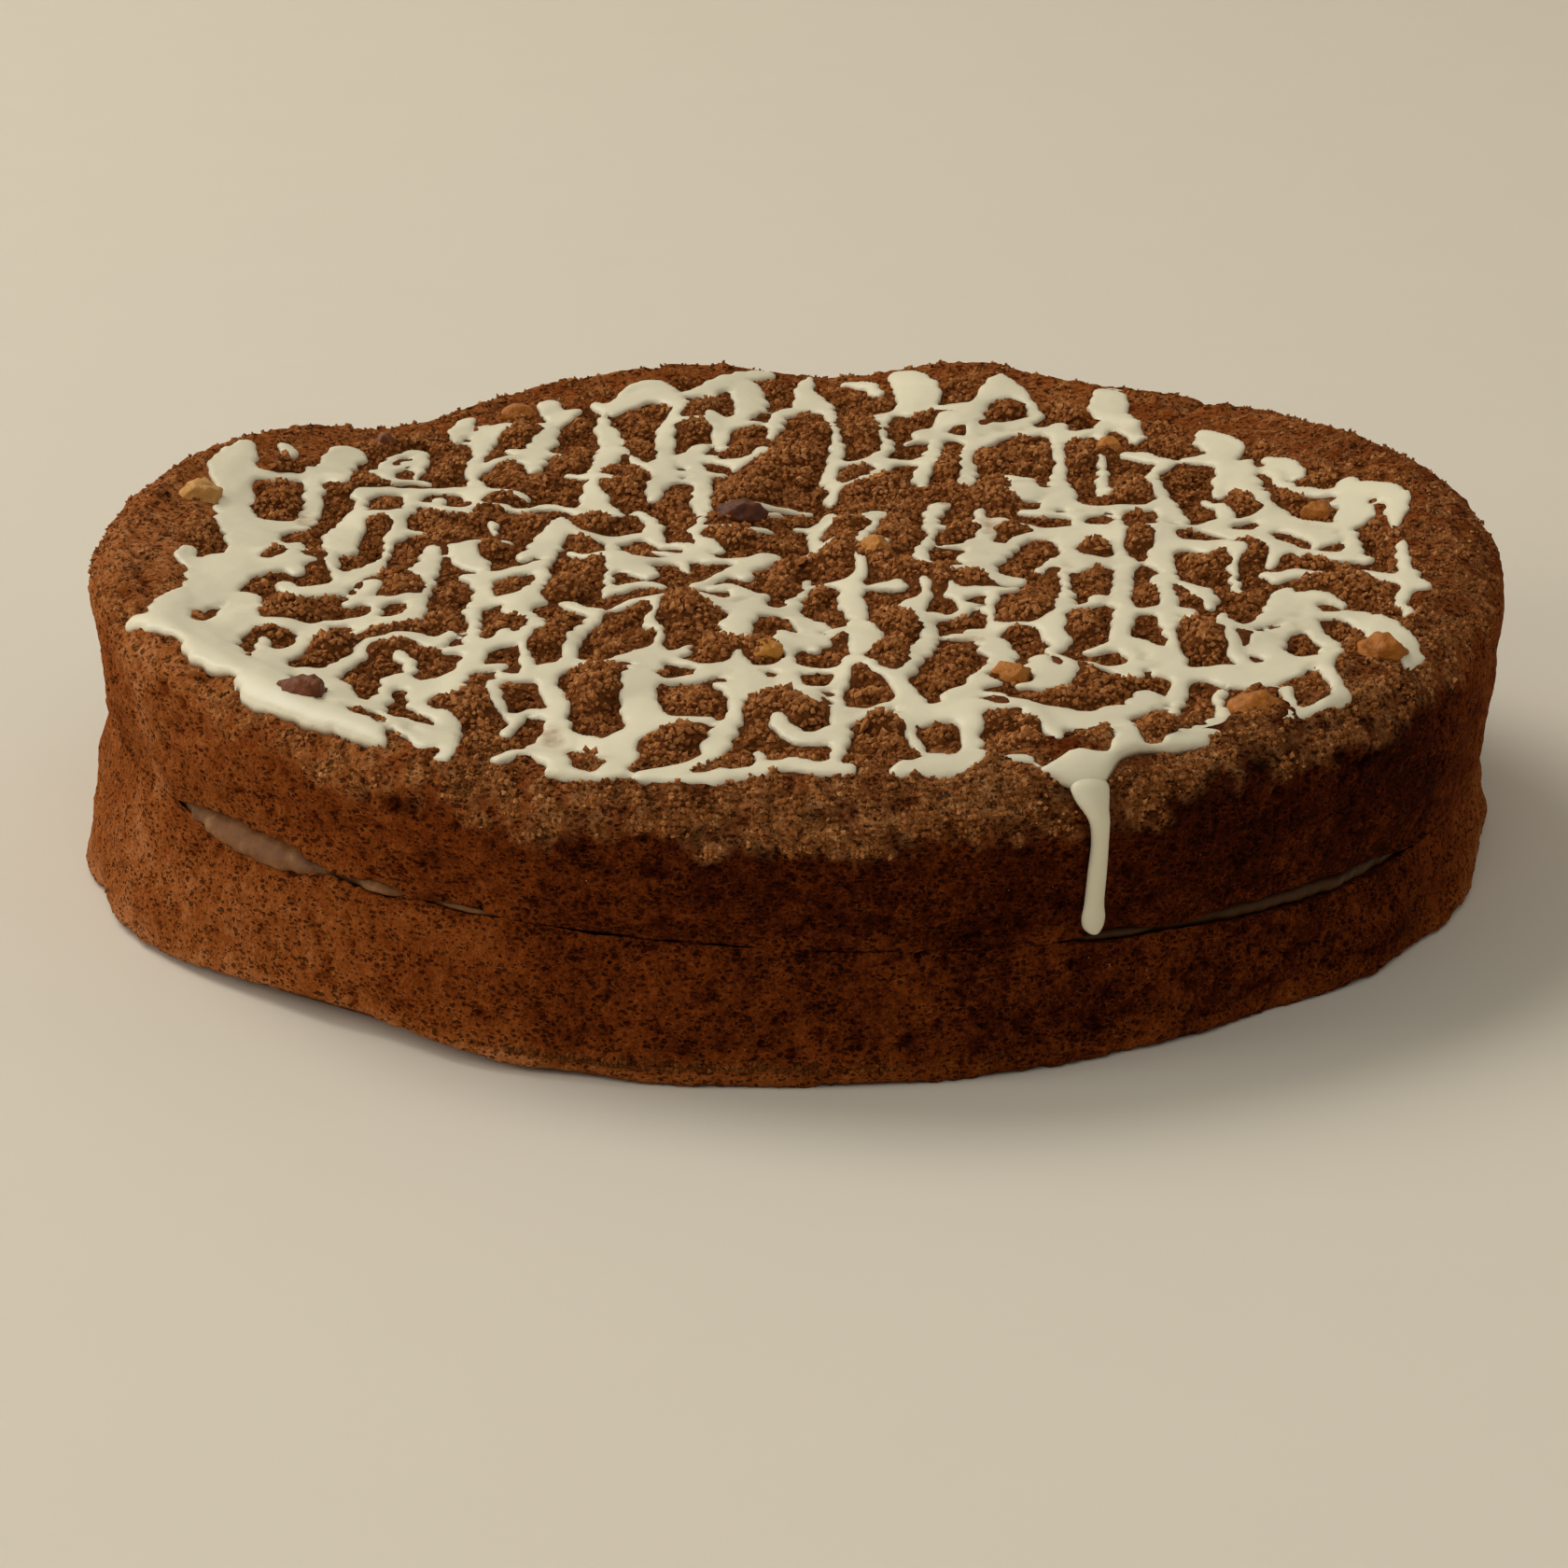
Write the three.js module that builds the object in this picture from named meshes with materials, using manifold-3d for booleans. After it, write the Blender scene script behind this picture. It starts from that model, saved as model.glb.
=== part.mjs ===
// Cinnamon crumble cake: two sponge layers with a caramel filling between them, a crumble
// topping with walnut pieces, and a net of white icing poured over the top.
// Millimetres, +Z up. The origin is the middle of the flat underside, and the front is at -Y.

import * as THREE from 'three';
import { mergeVertices } from 'three/addons/utils/BufferGeometryUtils.js';
import Module from 'manifold-3d';

const wasm = await Module();
wasm.setup();

// ---------------------------------------------------------------- driving dimensions

const gap = 0.3; // clearance between neighbouring solids
const sides = 60; // steps round the cake
const bedSides = 24; // steps round the crumble's bed, which is cut to fit its recess

const base = { radius: 127.9, contactRadius: 122, filletHeight: 1.8, wobble: 0.9 };
const lift = { angle: -128, halfAngle: 15, height: 3.2, inset: 5 }; // front left base edge, curled up
const seam = { height: 24.2, slopeX: -0.049, slopeY: 0.015, flatRadius: 114 };
const waist = { radius: 123.9, shiftX: 2.0 };
const bulge = { radius: 127.0, shiftX: 2.6 };
const edgeRounding = 1.1; // each layer's edge at the seam
const lipInset = 2.2; // the seam opens towards its edge as far in as this

const filling = { thickness: 1.7, inset: 1.5 };
const smear = { angle: -137, halfAngle: 11, thickness: 5.4, outset: 2.6 }; // caramel squeezed out
const leak = { angle: -46, halfAngle: 15, thickness: 2.8, outset: 1.2 };

const middleHeight = 53; // top of the cake at its middle
const riseAtRim = 5; // power of the rise from the middle to the rim
const crease = { x: 4, y: 0, halfWidth: 6, halfLength: 48, depth: 2.6 }; // sunken line near the middle
const recessFloor = 44; // top of the sponge under the crumble
const recessSlope = 4; // how far the recess narrows towards its floor
const crumbleBed = 2; // how far the crumble's bed lies below the clumps

// Stations round the cake: angle in degrees, 0 at +X, 90 at the back, and the value there.
const crestHeights = [
  [-180, 59], [-165, 58], [-150, 55.5], [-135, 53], [-120, 51], [-105, 50], [-75, 50.5],
  [-45, 50.5], [-30, 52], [-15, 55.5], [0, 58.5], [15, 59.8], [30, 59], [45, 58.2], [60, 57.6],
  [72, 59.2], [85, 55.4], [98, 58.6], [114, 56.4], [130, 53], [142, 58.2], [155, 60.2],
];
const crestRadii = [
  [-180, 117.5], [-140, 117], [-110, 115], [-70, 115.5], [-35, 118.5], [0, 119], [45, 119], [90, 119.5],
];
const shoulderHeights = [
  [-180, 6], [-150, 6], [-120, 8], [-90, 9], [-50, 9.5], [-20, 10], [10, 9], [45, 6], [90, 4.5], [150, 6],
];
const crumbleRadii = [
  [-180, 106], [-140, 111], [-90, 112], [-50, 112], [0, 109], [45, 104], [90, 111], [140, 105],
];

const clumps = { count: 50, smallest: 6.6, largest: 9.4, squash: 0.72, sink: 2.6, edge: 6 };
const icing = { above: 2.2, below: 4, step: 24, sway: 1.4, wave: 9 };

// The widest streams of the icing net. From back to front: x at the back, x at the front,
// y at the back, y at the front, width.
const longStreams = [
  [-92, -84, 70, 4, 6], [-70, -71, 64, -58, 5], [-57, -53, 78, -104, 5], [-43, -38, 102, -30, 5],
  [-21, -25, 112, -116, 6], [-3, 4, 110, -112, 5], [9, 15, 114, -60, 5], [27, 28, 112, -112, 5],
  [45, 44, 110, -110, 5], [66, 58, 98, -100, 6], [93, 90, 56, -90, 6], [111, 107, 22, -46, 6],
];
// From left to right: y at the left, y at the right, x at the left, x at the right, width.
const crossStreams = [
  [84, 92, -62, 60, 5], [54, 66, -100, 92, 5], [26, 32, -104, 106, 5], [0, 4, -106, 110, 5],
  [-29, -24, -108, 110, 5], [-54, -50, -102, 104, 5], [-80, -74, -88, 90, 6], [-106, -100, -56, 60, 6],
];
// Icing pools: x, y, half length along x, half length along y, turn in degrees.
const pools = [
  [-104, 48, 8, 18, 12], [-99, 12, 8, 16, -8], [-105, -32, 8, 18, 6], [-98, -62, 12, 6, -52],
  [-82, -83, 16, 7, -38], [-62, -100, 14, 6, -32], [-36, -112, 14, 6, -12], [0, -113, 15, 5, 2],
  [34, -110, 13, 5, 4], [72, -72, 12, 7, 16], [83, -86, 8, 11, -12], [102, -53, 6, 14, 12],
  [110, 18, 7, 13, -10], [92, 52, 11, 5.5, -40], [67, 95, 6, 9, 30], [45, 106, 6, 8, 0],
  [27, 110, 7, 7, 0], [-8, 110, 10, 6, 0], [-27, 108, 8, 6, 0],
];
const poolRise = { above: 1.5, below: 2.6 };
const drip = { angle: -67.5, top: 50.6, bottom: 23.2, width: 4.2, thickness: 2.6, fan: 12, bulb: 5.2 };

// Walnut pieces that show: x, y, length, turn in degrees.
const walnuts = [
  [-8, 20, 13, 10], [-109, 24, 13, 60], [38, -77, 9, -20], [77, -87, 12, 15], [-3, -62, 9, 40],
  [64, 64, 9, 80], [99, 14, 9, 0], [17, -4, 9, 120], [101, -62, 12, -35], [-53, 98, 9, 5],
  [-78, 72, 9, 100], [-79, -84, 11, -30],
];
const walnutShape = { width: 0.78, height: 0.7, unevenness: 0.16, above: 0.6, pocketRise: 5 };

// ---------------------------------------------------------------- helpers

const radians = THREE.MathUtils.degToRad;
const mix = THREE.MathUtils.lerp;

// A repeatable fraction between 0 and 1 for the k-th piece.
function fraction(k, seed) {
  const wave = Math.sin(k * 12.9898 + seed * 78.233) * 43758.5453;
  return wave - Math.floor(wave);
}

// A smooth periodic curve through the stations, read at an angle in degrees.
function around(stations, angle) {
  const count = stations.length;
  const turned = ((angle + 180) % 360 + 360) % 360 - 180;
  let index = count - 1;
  while (index > 0 && stations[index][0] > turned) index -= 1;
  const at = (i) => {
    const lap = Math.floor(i / count);
    const station = stations[i - lap * count];
    return [station[0] + 360 * lap, station[1]];
  };
  const [before, start, end, after] = [at(index - 1), at(index), at(index + 1), at(index + 2)];
  const span = end[0] - start[0];
  const t = (turned - start[0]) / span;
  const startSlope = ((end[1] - before[1]) / (end[0] - before[0])) * span;
  const endSlope = ((after[1] - start[1]) / (after[0] - start[0])) * span;
  const cubed = t * t * t;
  const squared = t * t;
  return (2 * cubed - 3 * squared + 1) * start[1] + (cubed - 2 * squared + t) * startSlope
    + (3 * squared - 2 * cubed) * end[1] + (cubed - squared) * endSlope;
}

// 1 at the middle angle, falling smoothly to 0 a few half widths away.
function near(angle, middle, halfAngle) {
  const away = ((angle - middle + 180) % 360 + 360) % 360 - 180;
  return Math.exp(-((away / halfAngle) ** 2));
}

const angleOf = (x, y) => THREE.MathUtils.radToDeg(Math.atan2(y, x));

// Closed geometry through rings of equal length, with a fan over each end.
function loft(rings) {
  const length = rings[0].length;
  const points = rings.flat();
  const faces = [];
  for (let i = 0; i + 1 < rings.length; i += 1) {
    for (let j = 0; j < length; j += 1) {
      const a = i * length + j;
      const b = i * length + ((j + 1) % length);
      faces.push([a, b, b + length], [a, b + length, a + length]);
    }
  }
  [rings[0], rings[rings.length - 1]].forEach((ring, end) => {
    const middle = new THREE.Vector3();
    ring.forEach((point) => middle.addScaledVector(point, 1 / length));
    const first = end === 0 ? 0 : (rings.length - 1) * length;
    for (let j = 0; j < length; j += 1) {
      const pair = [first + j, first + ((j + 1) % length)];
      faces.push(end === 0 ? [points.length, pair[1], pair[0]] : [points.length, pair[0], pair[1]]);
    }
    points.push(middle);
  });
  const volume = faces.reduce((sum, [a, b, c]) => (
    sum + points[a].dot(new THREE.Vector3().crossVectors(points[b], points[c]))), 0);
  const ordered = volume > 0 ? faces : faces.map(([a, b, c]) => [a, c, b]);
  const geometry = new THREE.BufferGeometry().setFromPoints(points);
  geometry.setIndex(ordered.flat());
  return geometry;
}

function solidOf(geometry) {
  const bare = geometry.clone();
  bare.deleteAttribute('normal');
  bare.deleteAttribute('uv');
  const merged = mergeVertices(bare, 1e-4);
  return new wasm.Manifold(new wasm.Mesh({
    numProp: 3,
    vertProperties: new Float32Array(merged.attributes.position.array),
    triVerts: new Uint32Array(merged.index.array),
  }));
}

function geometryOf(solid) {
  const mesh = solid.getMesh();
  const geometry = new THREE.BufferGeometry();
  geometry.setAttribute('position', new THREE.BufferAttribute(mesh.vertProperties, mesh.numProp));
  geometry.setIndex(new THREE.BufferAttribute(mesh.triVerts, 1));
  return geometry;
}

// The largest body alone: loose scraps and the walls of sealed hollows are dropped.
function largestBody(solid) {
  return solid.decompose().reduce((best, body) => (body.volume() > best.volume() ? body : best));
}

// ---------------------------------------------------------------- the cake's own form

// A ring round the cake; radius and height are functions of the angle in degrees.
function ring(radius, height, steps = sides) {
  return Array.from({ length: steps }, (_, i) => {
    const angle = (360 * i) / steps;
    const r = radius(angle);
    const x = r * Math.cos(radians(angle));
    const y = r * Math.sin(radians(angle));
    return new THREE.Vector3(x, y, height(angle, x, y));
  });
}

// The low relief of the baked side.
function sideRelief(angle, height) {
  const turn = radians(angle);
  return 0.35 * Math.sin(9 * turn + 0.13 * height) + 0.3 * Math.sin(17 * turn - 0.21 * height + 2)
    + 0.25 * Math.sin(25 * turn + 0.4 * height + 1);
}

const shifted = (size) => (angle) => size.radius + size.shiftX * Math.cos(radians(angle));
const waistRadius = shifted(waist);
const bulgeRadius = shifted(bulge);
const seamPlane = (x, y) => seam.height + seam.slopeX * x + seam.slopeY * y;
const lifted = (angle) => near(angle, lift.angle, lift.halfAngle);

function baseRadius(angle) {
  const turn = radians(angle);
  const wobble = Math.sin(3 * turn + 1) + 0.6 * Math.sin(8 * turn) + 0.5 * Math.sin(19 * turn + 2);
  return base.radius + base.wobble * wobble - lift.inset * lifted(angle);
}

const crestRadius = (angle) => around(crestRadii, angle);
const crestHeight = (angle) => around(crestHeights, angle);
const crumbleRadius = (angle) => around(crumbleRadii, angle);

// Height of the cake's top surface.
function topHeight(x, y) {
  const angle = angleOf(x, y);
  const reach = Math.min(1, Math.hypot(x, y) / crestRadius(angle));
  const rise = (crestHeight(angle) - middleHeight) * reach ** riseAtRim;
  const across = ((x - crease.x) / crease.halfWidth) ** 2;
  const along = ((y - crease.y) / crease.halfLength) ** 2;
  const hills = 0.7 * Math.sin(x / 17 + 0.6) * Math.cos(y / 14) + 0.5 * Math.sin((x + y) / 10);
  return middleHeight + rise + hills - crease.depth * Math.exp(-across - along);
}

// Thickness of the filling where it shows at the side.
function fillingThickness(angle) {
  const squeezed = (smear.thickness - filling.thickness) * near(angle, smear.angle, smear.halfAngle);
  const leaking = (leak.thickness - filling.thickness) * near(angle, leak.angle, leak.halfAngle);
  return filling.thickness + squeezed + leaking;
}

const seamRing = (radius, side, half, clearance) => ring(
  radius,
  (angle, x, y) => seamPlane(x, y) + side * (half(angle) + clearance),
);
const thinHalf = () => filling.thickness / 2;
const edgeHalf = (angle) => fillingThickness(angle) / 2;
const lipRadius = (angle) => waistRadius(angle) - lipInset;

function lowerSponge() {
  const seamTop = (angle, x, y) => seamPlane(x, y) - edgeHalf(angle) - gap;
  const wall = [1, 0.75, 0.5, 0.25, 0].map((share) => {
    const shape = share ** 1.4;
    const radius = (angle) => mix(baseRadius(angle), waistRadius(angle), shape)
      + sideRelief(angle, 30 * share) * (1 - 0.4 * share);
    const height = (angle, x, y) => mix(
      base.filletHeight + lift.height * lifted(angle),
      seamTop(angle, x, y) - edgeRounding,
      share,
    );
    return ring(radius, height);
  });
  return loft([
    seamRing(() => seam.flatRadius, -1, thinHalf, gap),
    seamRing(lipRadius, -1, edgeHalf, gap),
    seamRing((angle) => waistRadius(angle) - edgeRounding, -1, edgeHalf, gap),
    ...wall,
    ring((angle) => baseRadius(angle) - base.filletHeight, (angle) => 0.2 + lift.height * lifted(angle)),
    ring((angle) => base.contactRadius - lift.inset * lifted(angle), () => 0),
  ]);
}

function fillingLayer() {
  const edgeRadius = (angle) => waistRadius(angle) - filling.inset
    + smear.outset * near(angle, smear.angle, smear.halfAngle)
    + leak.outset * near(angle, leak.angle, leak.halfAngle);
  const roundedHalf = (angle) => edgeHalf(angle) / 2;
  return loft([
    seamRing(() => seam.flatRadius, -1, thinHalf, 0),
    seamRing(lipRadius, -1, edgeHalf, 0),
    seamRing(edgeRadius, -1, roundedHalf, 0),
    seamRing(edgeRadius, 1, roundedHalf, 0),
    seamRing(lipRadius, 1, edgeHalf, 0),
    seamRing(() => seam.flatRadius, 1, thinHalf, 0),
  ]);
}

// The upper layer with its rounded shoulder, uneven rim and the recess for the crumble.
// With a grow above zero it is the same form swollen by that much, to cut its neighbours with.
function upperSponge(grow = 0) {
  const seamBottom = (angle, x, y) => seamPlane(x, y) + edgeHalf(angle) + gap - grow;
  const shoulderStart = (angle) => crestHeight(angle) - around(shoulderHeights, angle);
  const wall = [1, 0.75, 0.5, 0.25, 0].map((share) => ring(
    (angle) => mix(waistRadius(angle), bulgeRadius(angle), Math.sin(radians(90 * share)))
      + sideRelief(angle, 30 + 30 * share) + grow,
    (angle, x, y) => mix(seamBottom(angle, x, y) + edgeRounding, shoulderStart(angle), share),
  ));
  const shoulder = [90, 70, 48, 24].map((slope) => ring(
    (angle) => mix(crestRadius(angle), bulgeRadius(angle), Math.cos(radians(slope)))
      + sideRelief(angle, 60 + slope / 4) * Math.cos(radians(slope)) + grow,
    (angle) => mix(shoulderStart(angle), crestHeight(angle), Math.sin(radians(slope)))
      + 0.6 * sideRelief(angle, slope) * Math.sin(radians(slope)) + grow,
  ));
  const rim = [0, 0.6].map((share) => ring(
    (angle) => mix(crumbleRadius(angle), crestRadius(angle), share) - (share === 0 ? grow : 0),
    (angle, x, y) => topHeight(x, y) + grow,
  ));
  return loft([
    ring((angle) => crumbleRadius(angle) - recessSlope - grow, () => recessFloor + grow),
    ...rim,
    ...shoulder,
    ...wall,
    seamRing((angle) => waistRadius(angle) - edgeRounding + grow, 1, edgeHalf, gap - grow),
    seamRing(lipRadius, 1, edgeHalf, gap - grow),
    seamRing(() => seam.flatRadius, 1, thinHalf, gap - grow),
  ]);
}

// ---------------------------------------------------------------- crumble and icing

function crumbleBase() {
  const under = 4; // the bed starts this far below the recess floor
  const outer = (angle) => crumbleRadius(angle) + 2;
  const top = [1, 0.92, 0.66, 0.36].map((share) => ring(
    (angle) => outer(angle) * share,
    (angle, x, y) => topHeight(x, y) - (share === 1 ? 0 : crumbleBed),
    bedSides,
  ));
  return loft([ring(outer, () => recessFloor - under, bedSides), ...top]);
}

// Where the k-th clump lies: on a sunflower spiral, so that the clumps are spread evenly.
function clumpPlace(k) {
  const angle = (k * 137.508) % 360;
  const reach = crumbleRadius(angle) - clumps.edge;
  const radius = reach * Math.sqrt((k + 0.5) / clumps.count);
  const size = mix(clumps.smallest, clumps.largest, fraction(k, 1));
  return { x: radius * Math.cos(radians(angle)), y: radius * Math.sin(radians(angle)), size };
}

function clump(k) {
  const { x, y, size } = clumpPlace(k);
  const geometry = new THREE.IcosahedronGeometry(size, 0);
  geometry.rotateX(6.283 * fraction(k, 2));
  geometry.rotateZ(6.283 * fraction(k, 3));
  geometry.scale(mix(0.85, 1.15, fraction(k, 4)), mix(0.85, 1.15, fraction(k, 5)), clumps.squash);
  geometry.translate(x, y, topHeight(x, y) - clumps.sink);
  return solidOf(geometry);
}

// A stream of icing along points on the top: a low ridge, narrow at its two ends.
function stream(points, width) {
  const last = points.length - 1;
  const rings = points.map(([x, y], i) => {
    const [x0, y0] = points[Math.max(0, i - 1)];
    const [x1, y1] = points[Math.min(last, i + 1)];
    const along = Math.hypot(x1 - x0, y1 - y0);
    const taper = i === 0 || i === last ? 0.6 : mix(0.85, 1.15, fraction(i, width));
    const reach = width * taper; // half the width at the hidden foot, twice that at the top
    const z = topHeight(x, y);
    const foot = (side) => new THREE.Vector3(
      x - (side * reach * (y1 - y0)) / along,
      y + (side * reach * (x1 - x0)) / along,
      z - icing.below,
    );
    return [foot(-1), foot(1), new THREE.Vector3(x, y, z + icing.above * taper)];
  });
  return solidOf(loft(rings));
}

// Points from start to end of a stream; swaying maps a share of the way to a place.
function streamPoints(length, place) {
  const steps = Math.max(2, Math.round(length / icing.step));
  return Array.from({ length: steps + 1 }, (_, i) => place(i / steps));
}

function longStream([xBack, xFront, yBack, yFront, width], index) {
  const points = streamPoints(yBack - yFront, (share) => {
    const y = mix(yBack, yFront, share);
    return [mix(xBack, xFront, share) + icing.sway * Math.sin(y / icing.wave + index), y];
  });
  return stream(points, width);
}

function crossStream([yLeft, yRight, xLeft, xRight, width], index) {
  const points = streamPoints(xRight - xLeft, (share) => {
    const x = mix(xLeft, xRight, share);
    return [x, mix(yLeft, yRight, (x + 100) / 200) + icing.sway * Math.sin(x / icing.wave + index)];
  });
  return stream(points, width);
}

function pool([x, y, halfX, halfY, turn]) {
  const geometry = new THREE.SphereGeometry(1, 8, 4);
  geometry.rotateX(Math.PI / 2);
  geometry.scale(halfX, halfY, poolRise.above + poolRise.below);
  geometry.rotateZ(radians(turn));
  geometry.translate(x, y, topHeight(x, y) - poolRise.below);
  return solidOf(geometry);
}

// The stream that runs over the front edge and down the side, ending in a round drop.
function sideDrip() {
  const outward = new THREE.Vector3(Math.cos(radians(drip.angle)), Math.sin(radians(drip.angle)), 0);
  const sideways = new THREE.Vector3(-outward.y, outward.x, 0);
  const wallFront = bulgeRadius(drip.angle) + 1.2;
  // Each station: distance from the axis, height and width of the stream.
  const stations = [
    [111, drip.top - 1.6, drip.fan], [119, drip.top - 0.8, drip.fan], [wallFront - 3, 47, 7],
    [wallFront, 43.5, drip.width], [wallFront, 34, drip.width * 0.86], [wallFront - 0.8, 27, drip.width],
    [wallFront - 1, 24.8, drip.bulb], [wallFront - 1, drip.bottom, drip.width * 0.6],
  ];
  const last = stations.length - 1;
  const rings = stations.map(([radius, height, width], i) => {
    const [r0, z0] = stations[Math.max(0, i - 1)];
    const [r1, z1] = stations[Math.min(last, i + 1)];
    const length = Math.hypot(r1 - r0, z1 - z0);
    const normal = outward.clone().multiplyScalar((z0 - z1) / length);
    normal.z = (r1 - r0) / length;
    const thickness = drip.thickness * (i === last ? 0.5 : 1);
    return [0, 60, 120, 180, 240, 300].map((turn) => new THREE.Vector3(0, 0, height)
      .addScaledVector(outward, radius)
      .addScaledVector(sideways, (Math.cos(radians(turn)) * width) / 2)
      .addScaledVector(normal, (Math.sin(radians(turn)) * thickness) / 1.6));
  });
  return solidOf(loft(rings));
}

// ---------------------------------------------------------------- walnut pieces

// A walnut piece, or with a swell above zero the pocket that holds it.
function walnutGeometry([x, y, length, turn], index, swell = 0) {
  const geometry = new THREE.DodecahedronGeometry(length / 2, 0);
  const position = geometry.attributes.position;
  const point = new THREE.Vector3();
  for (let i = 0; i < position.count; i += 1) {
    point.fromBufferAttribute(position, i);
    const corner = Math.round(10 * point.x + 37 * point.y + 71 * point.z);
    point.multiplyScalar(1 - walnutShape.unevenness * fraction(corner, index) + (2 * swell) / length);
    position.setXYZ(i, point.x, point.y, point.z);
  }
  const stretch = (share) => share + ((1 - share) * 2 * swell) / length;
  geometry.scale(1, stretch(walnutShape.width), stretch(walnutShape.height));
  geometry.rotateX(0.3);
  geometry.rotateZ(radians(turn));
  geometry.translate(x, y, topHeight(x, y) + walnutShape.above);
  return geometry;
}

function walnutPocket(place, index) {
  const pocket = solidOf(walnutGeometry(place, index, 1.6 * gap));
  const raised = walnutGeometry(place, index, 1.6 * gap).translate(0, 0, walnutShape.pocketRise);
  return pocket.add(solidOf(raised));
}

// The geometry of a solid with room cut in it for the walnut pieces.
function withPockets(solid) {
  const cut = walnuts.reduce((left, place, index) => left.subtract(walnutPocket(place, index)), solid);
  return geometryOf(largestBody(cut));
}

function crumbleTopping() {
  const pieces = [
    ...Array.from({ length: clumps.count }, (_, k) => clump(k)),
    ...longStreams.map(longStream),
    ...crossStreams.map(crossStream),
    ...pools.map(pool),
    sideDrip(),
  ];
  let topping = solidOf(crumbleBase());
  pieces.forEach((piece) => {
    topping = topping.add(piece);
  });
  return withPockets(topping.subtract(solidOf(upperSponge(gap))));
}

// ---------------------------------------------------------------- materials and scene graph

const material = (color, roughness) => new THREE.MeshStandardMaterial({ color, roughness, metalness: 0 });
const spongeMaterial = material(0x5a2c12, 0.85);
const fillingMaterial = material(0x8a5a30, 0.35);
const crumbleMaterial = material(0x5c341c, 0.9);
const walnutMaterial = material(0x9a5c1e, 0.6);

const cake = new THREE.Group();

function addMesh(name, geometry, surface) {
  const mesh = new THREE.Mesh(geometry, surface);
  mesh.name = name;
  cake.add(mesh);
}

addMesh('lower_sponge', lowerSponge(), spongeMaterial);
addMesh('filling', fillingLayer(), fillingMaterial);
addMesh('upper_sponge', withPockets(solidOf(upperSponge())), spongeMaterial);
addMesh('crumble', crumbleTopping(), crumbleMaterial);
walnuts.forEach((place, index) => {
  const number = String(index + 1).padStart(2, '0');
  addMesh(`walnut_${number}`, walnutGeometry(place, index), walnutMaterial);
});

export default cake;
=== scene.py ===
"""Looks of the cinnamon crumble cake: porous sponge, granular crumble, poured icing, walnuts.

Shapes are worked out in millimetres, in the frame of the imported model, and made in metres.
"""

import math

import bpy
import numpy as np
from mathutils import Matrix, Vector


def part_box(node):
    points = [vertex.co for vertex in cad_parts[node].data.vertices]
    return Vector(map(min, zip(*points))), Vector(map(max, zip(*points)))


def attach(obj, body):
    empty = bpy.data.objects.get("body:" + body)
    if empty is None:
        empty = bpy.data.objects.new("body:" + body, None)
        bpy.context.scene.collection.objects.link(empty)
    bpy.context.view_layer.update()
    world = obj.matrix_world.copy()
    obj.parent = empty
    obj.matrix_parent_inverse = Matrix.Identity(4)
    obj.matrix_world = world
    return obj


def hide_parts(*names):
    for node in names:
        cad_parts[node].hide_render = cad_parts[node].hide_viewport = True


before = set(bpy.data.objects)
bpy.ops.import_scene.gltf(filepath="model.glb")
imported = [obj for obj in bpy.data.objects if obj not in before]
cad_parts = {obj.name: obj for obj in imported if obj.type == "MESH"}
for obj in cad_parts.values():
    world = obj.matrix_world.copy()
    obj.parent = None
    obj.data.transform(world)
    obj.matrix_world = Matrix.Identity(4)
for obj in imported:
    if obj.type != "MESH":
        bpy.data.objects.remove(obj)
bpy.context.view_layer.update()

MM = 0.001
ROOT = "root"

# ------------------------------------------------------------------ the cake's form

SIDE_STEPS = 1080
BASE = {"radius": 127.9, "contact": 122.0, "fillet": 1.8, "wobble": 0.9}
LIFT = {"angle": -128.0, "half": 15.0, "height": 3.2, "inset": 5.0}
SEAM = {"height": 24.2, "slope_x": -0.049, "slope_y": 0.015, "flat": 114.0}
WAIST = {"radius": 123.9, "shift": 2.0}
BULGE = {"radius": 127.0, "shift": 2.6}
EDGE_ROUNDING = {"shut": 0.14, "open": 0.45}
LIP_INSET = 2.2
GAP = 0.3
FILLING = {"thickness": 1.7, "inset": 1.5, "sunk": 0.5, "noise_radius": 124}
SMEAR = {"angle": -137.0, "half": 11.0, "thickness": 4.8, "outset": 2.5, "sag": 1.4}
LEAK = {"angle": -46.0, "half": 15.0, "thickness": 2.8, "outset": 1.2}
# Smaller places where the filling shows: outset, angle and half width in degrees.
LEAK_SPOTS = [(1.5, -122.4, 2.4), (1.3, -115.0, 3.8), (1.0, -65.5, 3.4)]
SHUT_LIPS = 0.02
# A strip where the crust has torn away, a place where the seam gapes, and a notch in the back rim.
TORN = {"angle": -151.5, "half": 1.6}
TORN_GAP = {"angle": -101, "half": 7}
NOTCH = {"angle": 46.5, "half": 1.0, "depth": 2.2}

MIDDLE_HEIGHT = 53.0
RISE_AT_RIM = 5
CREASE = {"x": 4.0, "y": 0.0, "half_width": 6.0, "half_length": 48.0, "depth": 2.6}
RECESS_FLOOR = 44.0
RECESS_SLOPE = 4.0
CRUMBLE_BED = 2.0
HILLS = {"height": 0.7, "width": 17, "length": 14, "slanted_height": 0.5, "slanted_width": 10}
RIM_RELIEF = 0.6

# Waves round the side and the foot: size, number of waves, twist for each millimetre up, and start.
SIDE_WAVES = [(0.35, 9, 0.13, 0), (0.3, 17, -0.21, 2), (0.25, 25, 0.4, 1)]
FOOT_WAVES = [(1.0, 3, 0, 1), (0.6, 8, 0, 0), (0.5, 19, 0, 2)]

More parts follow.
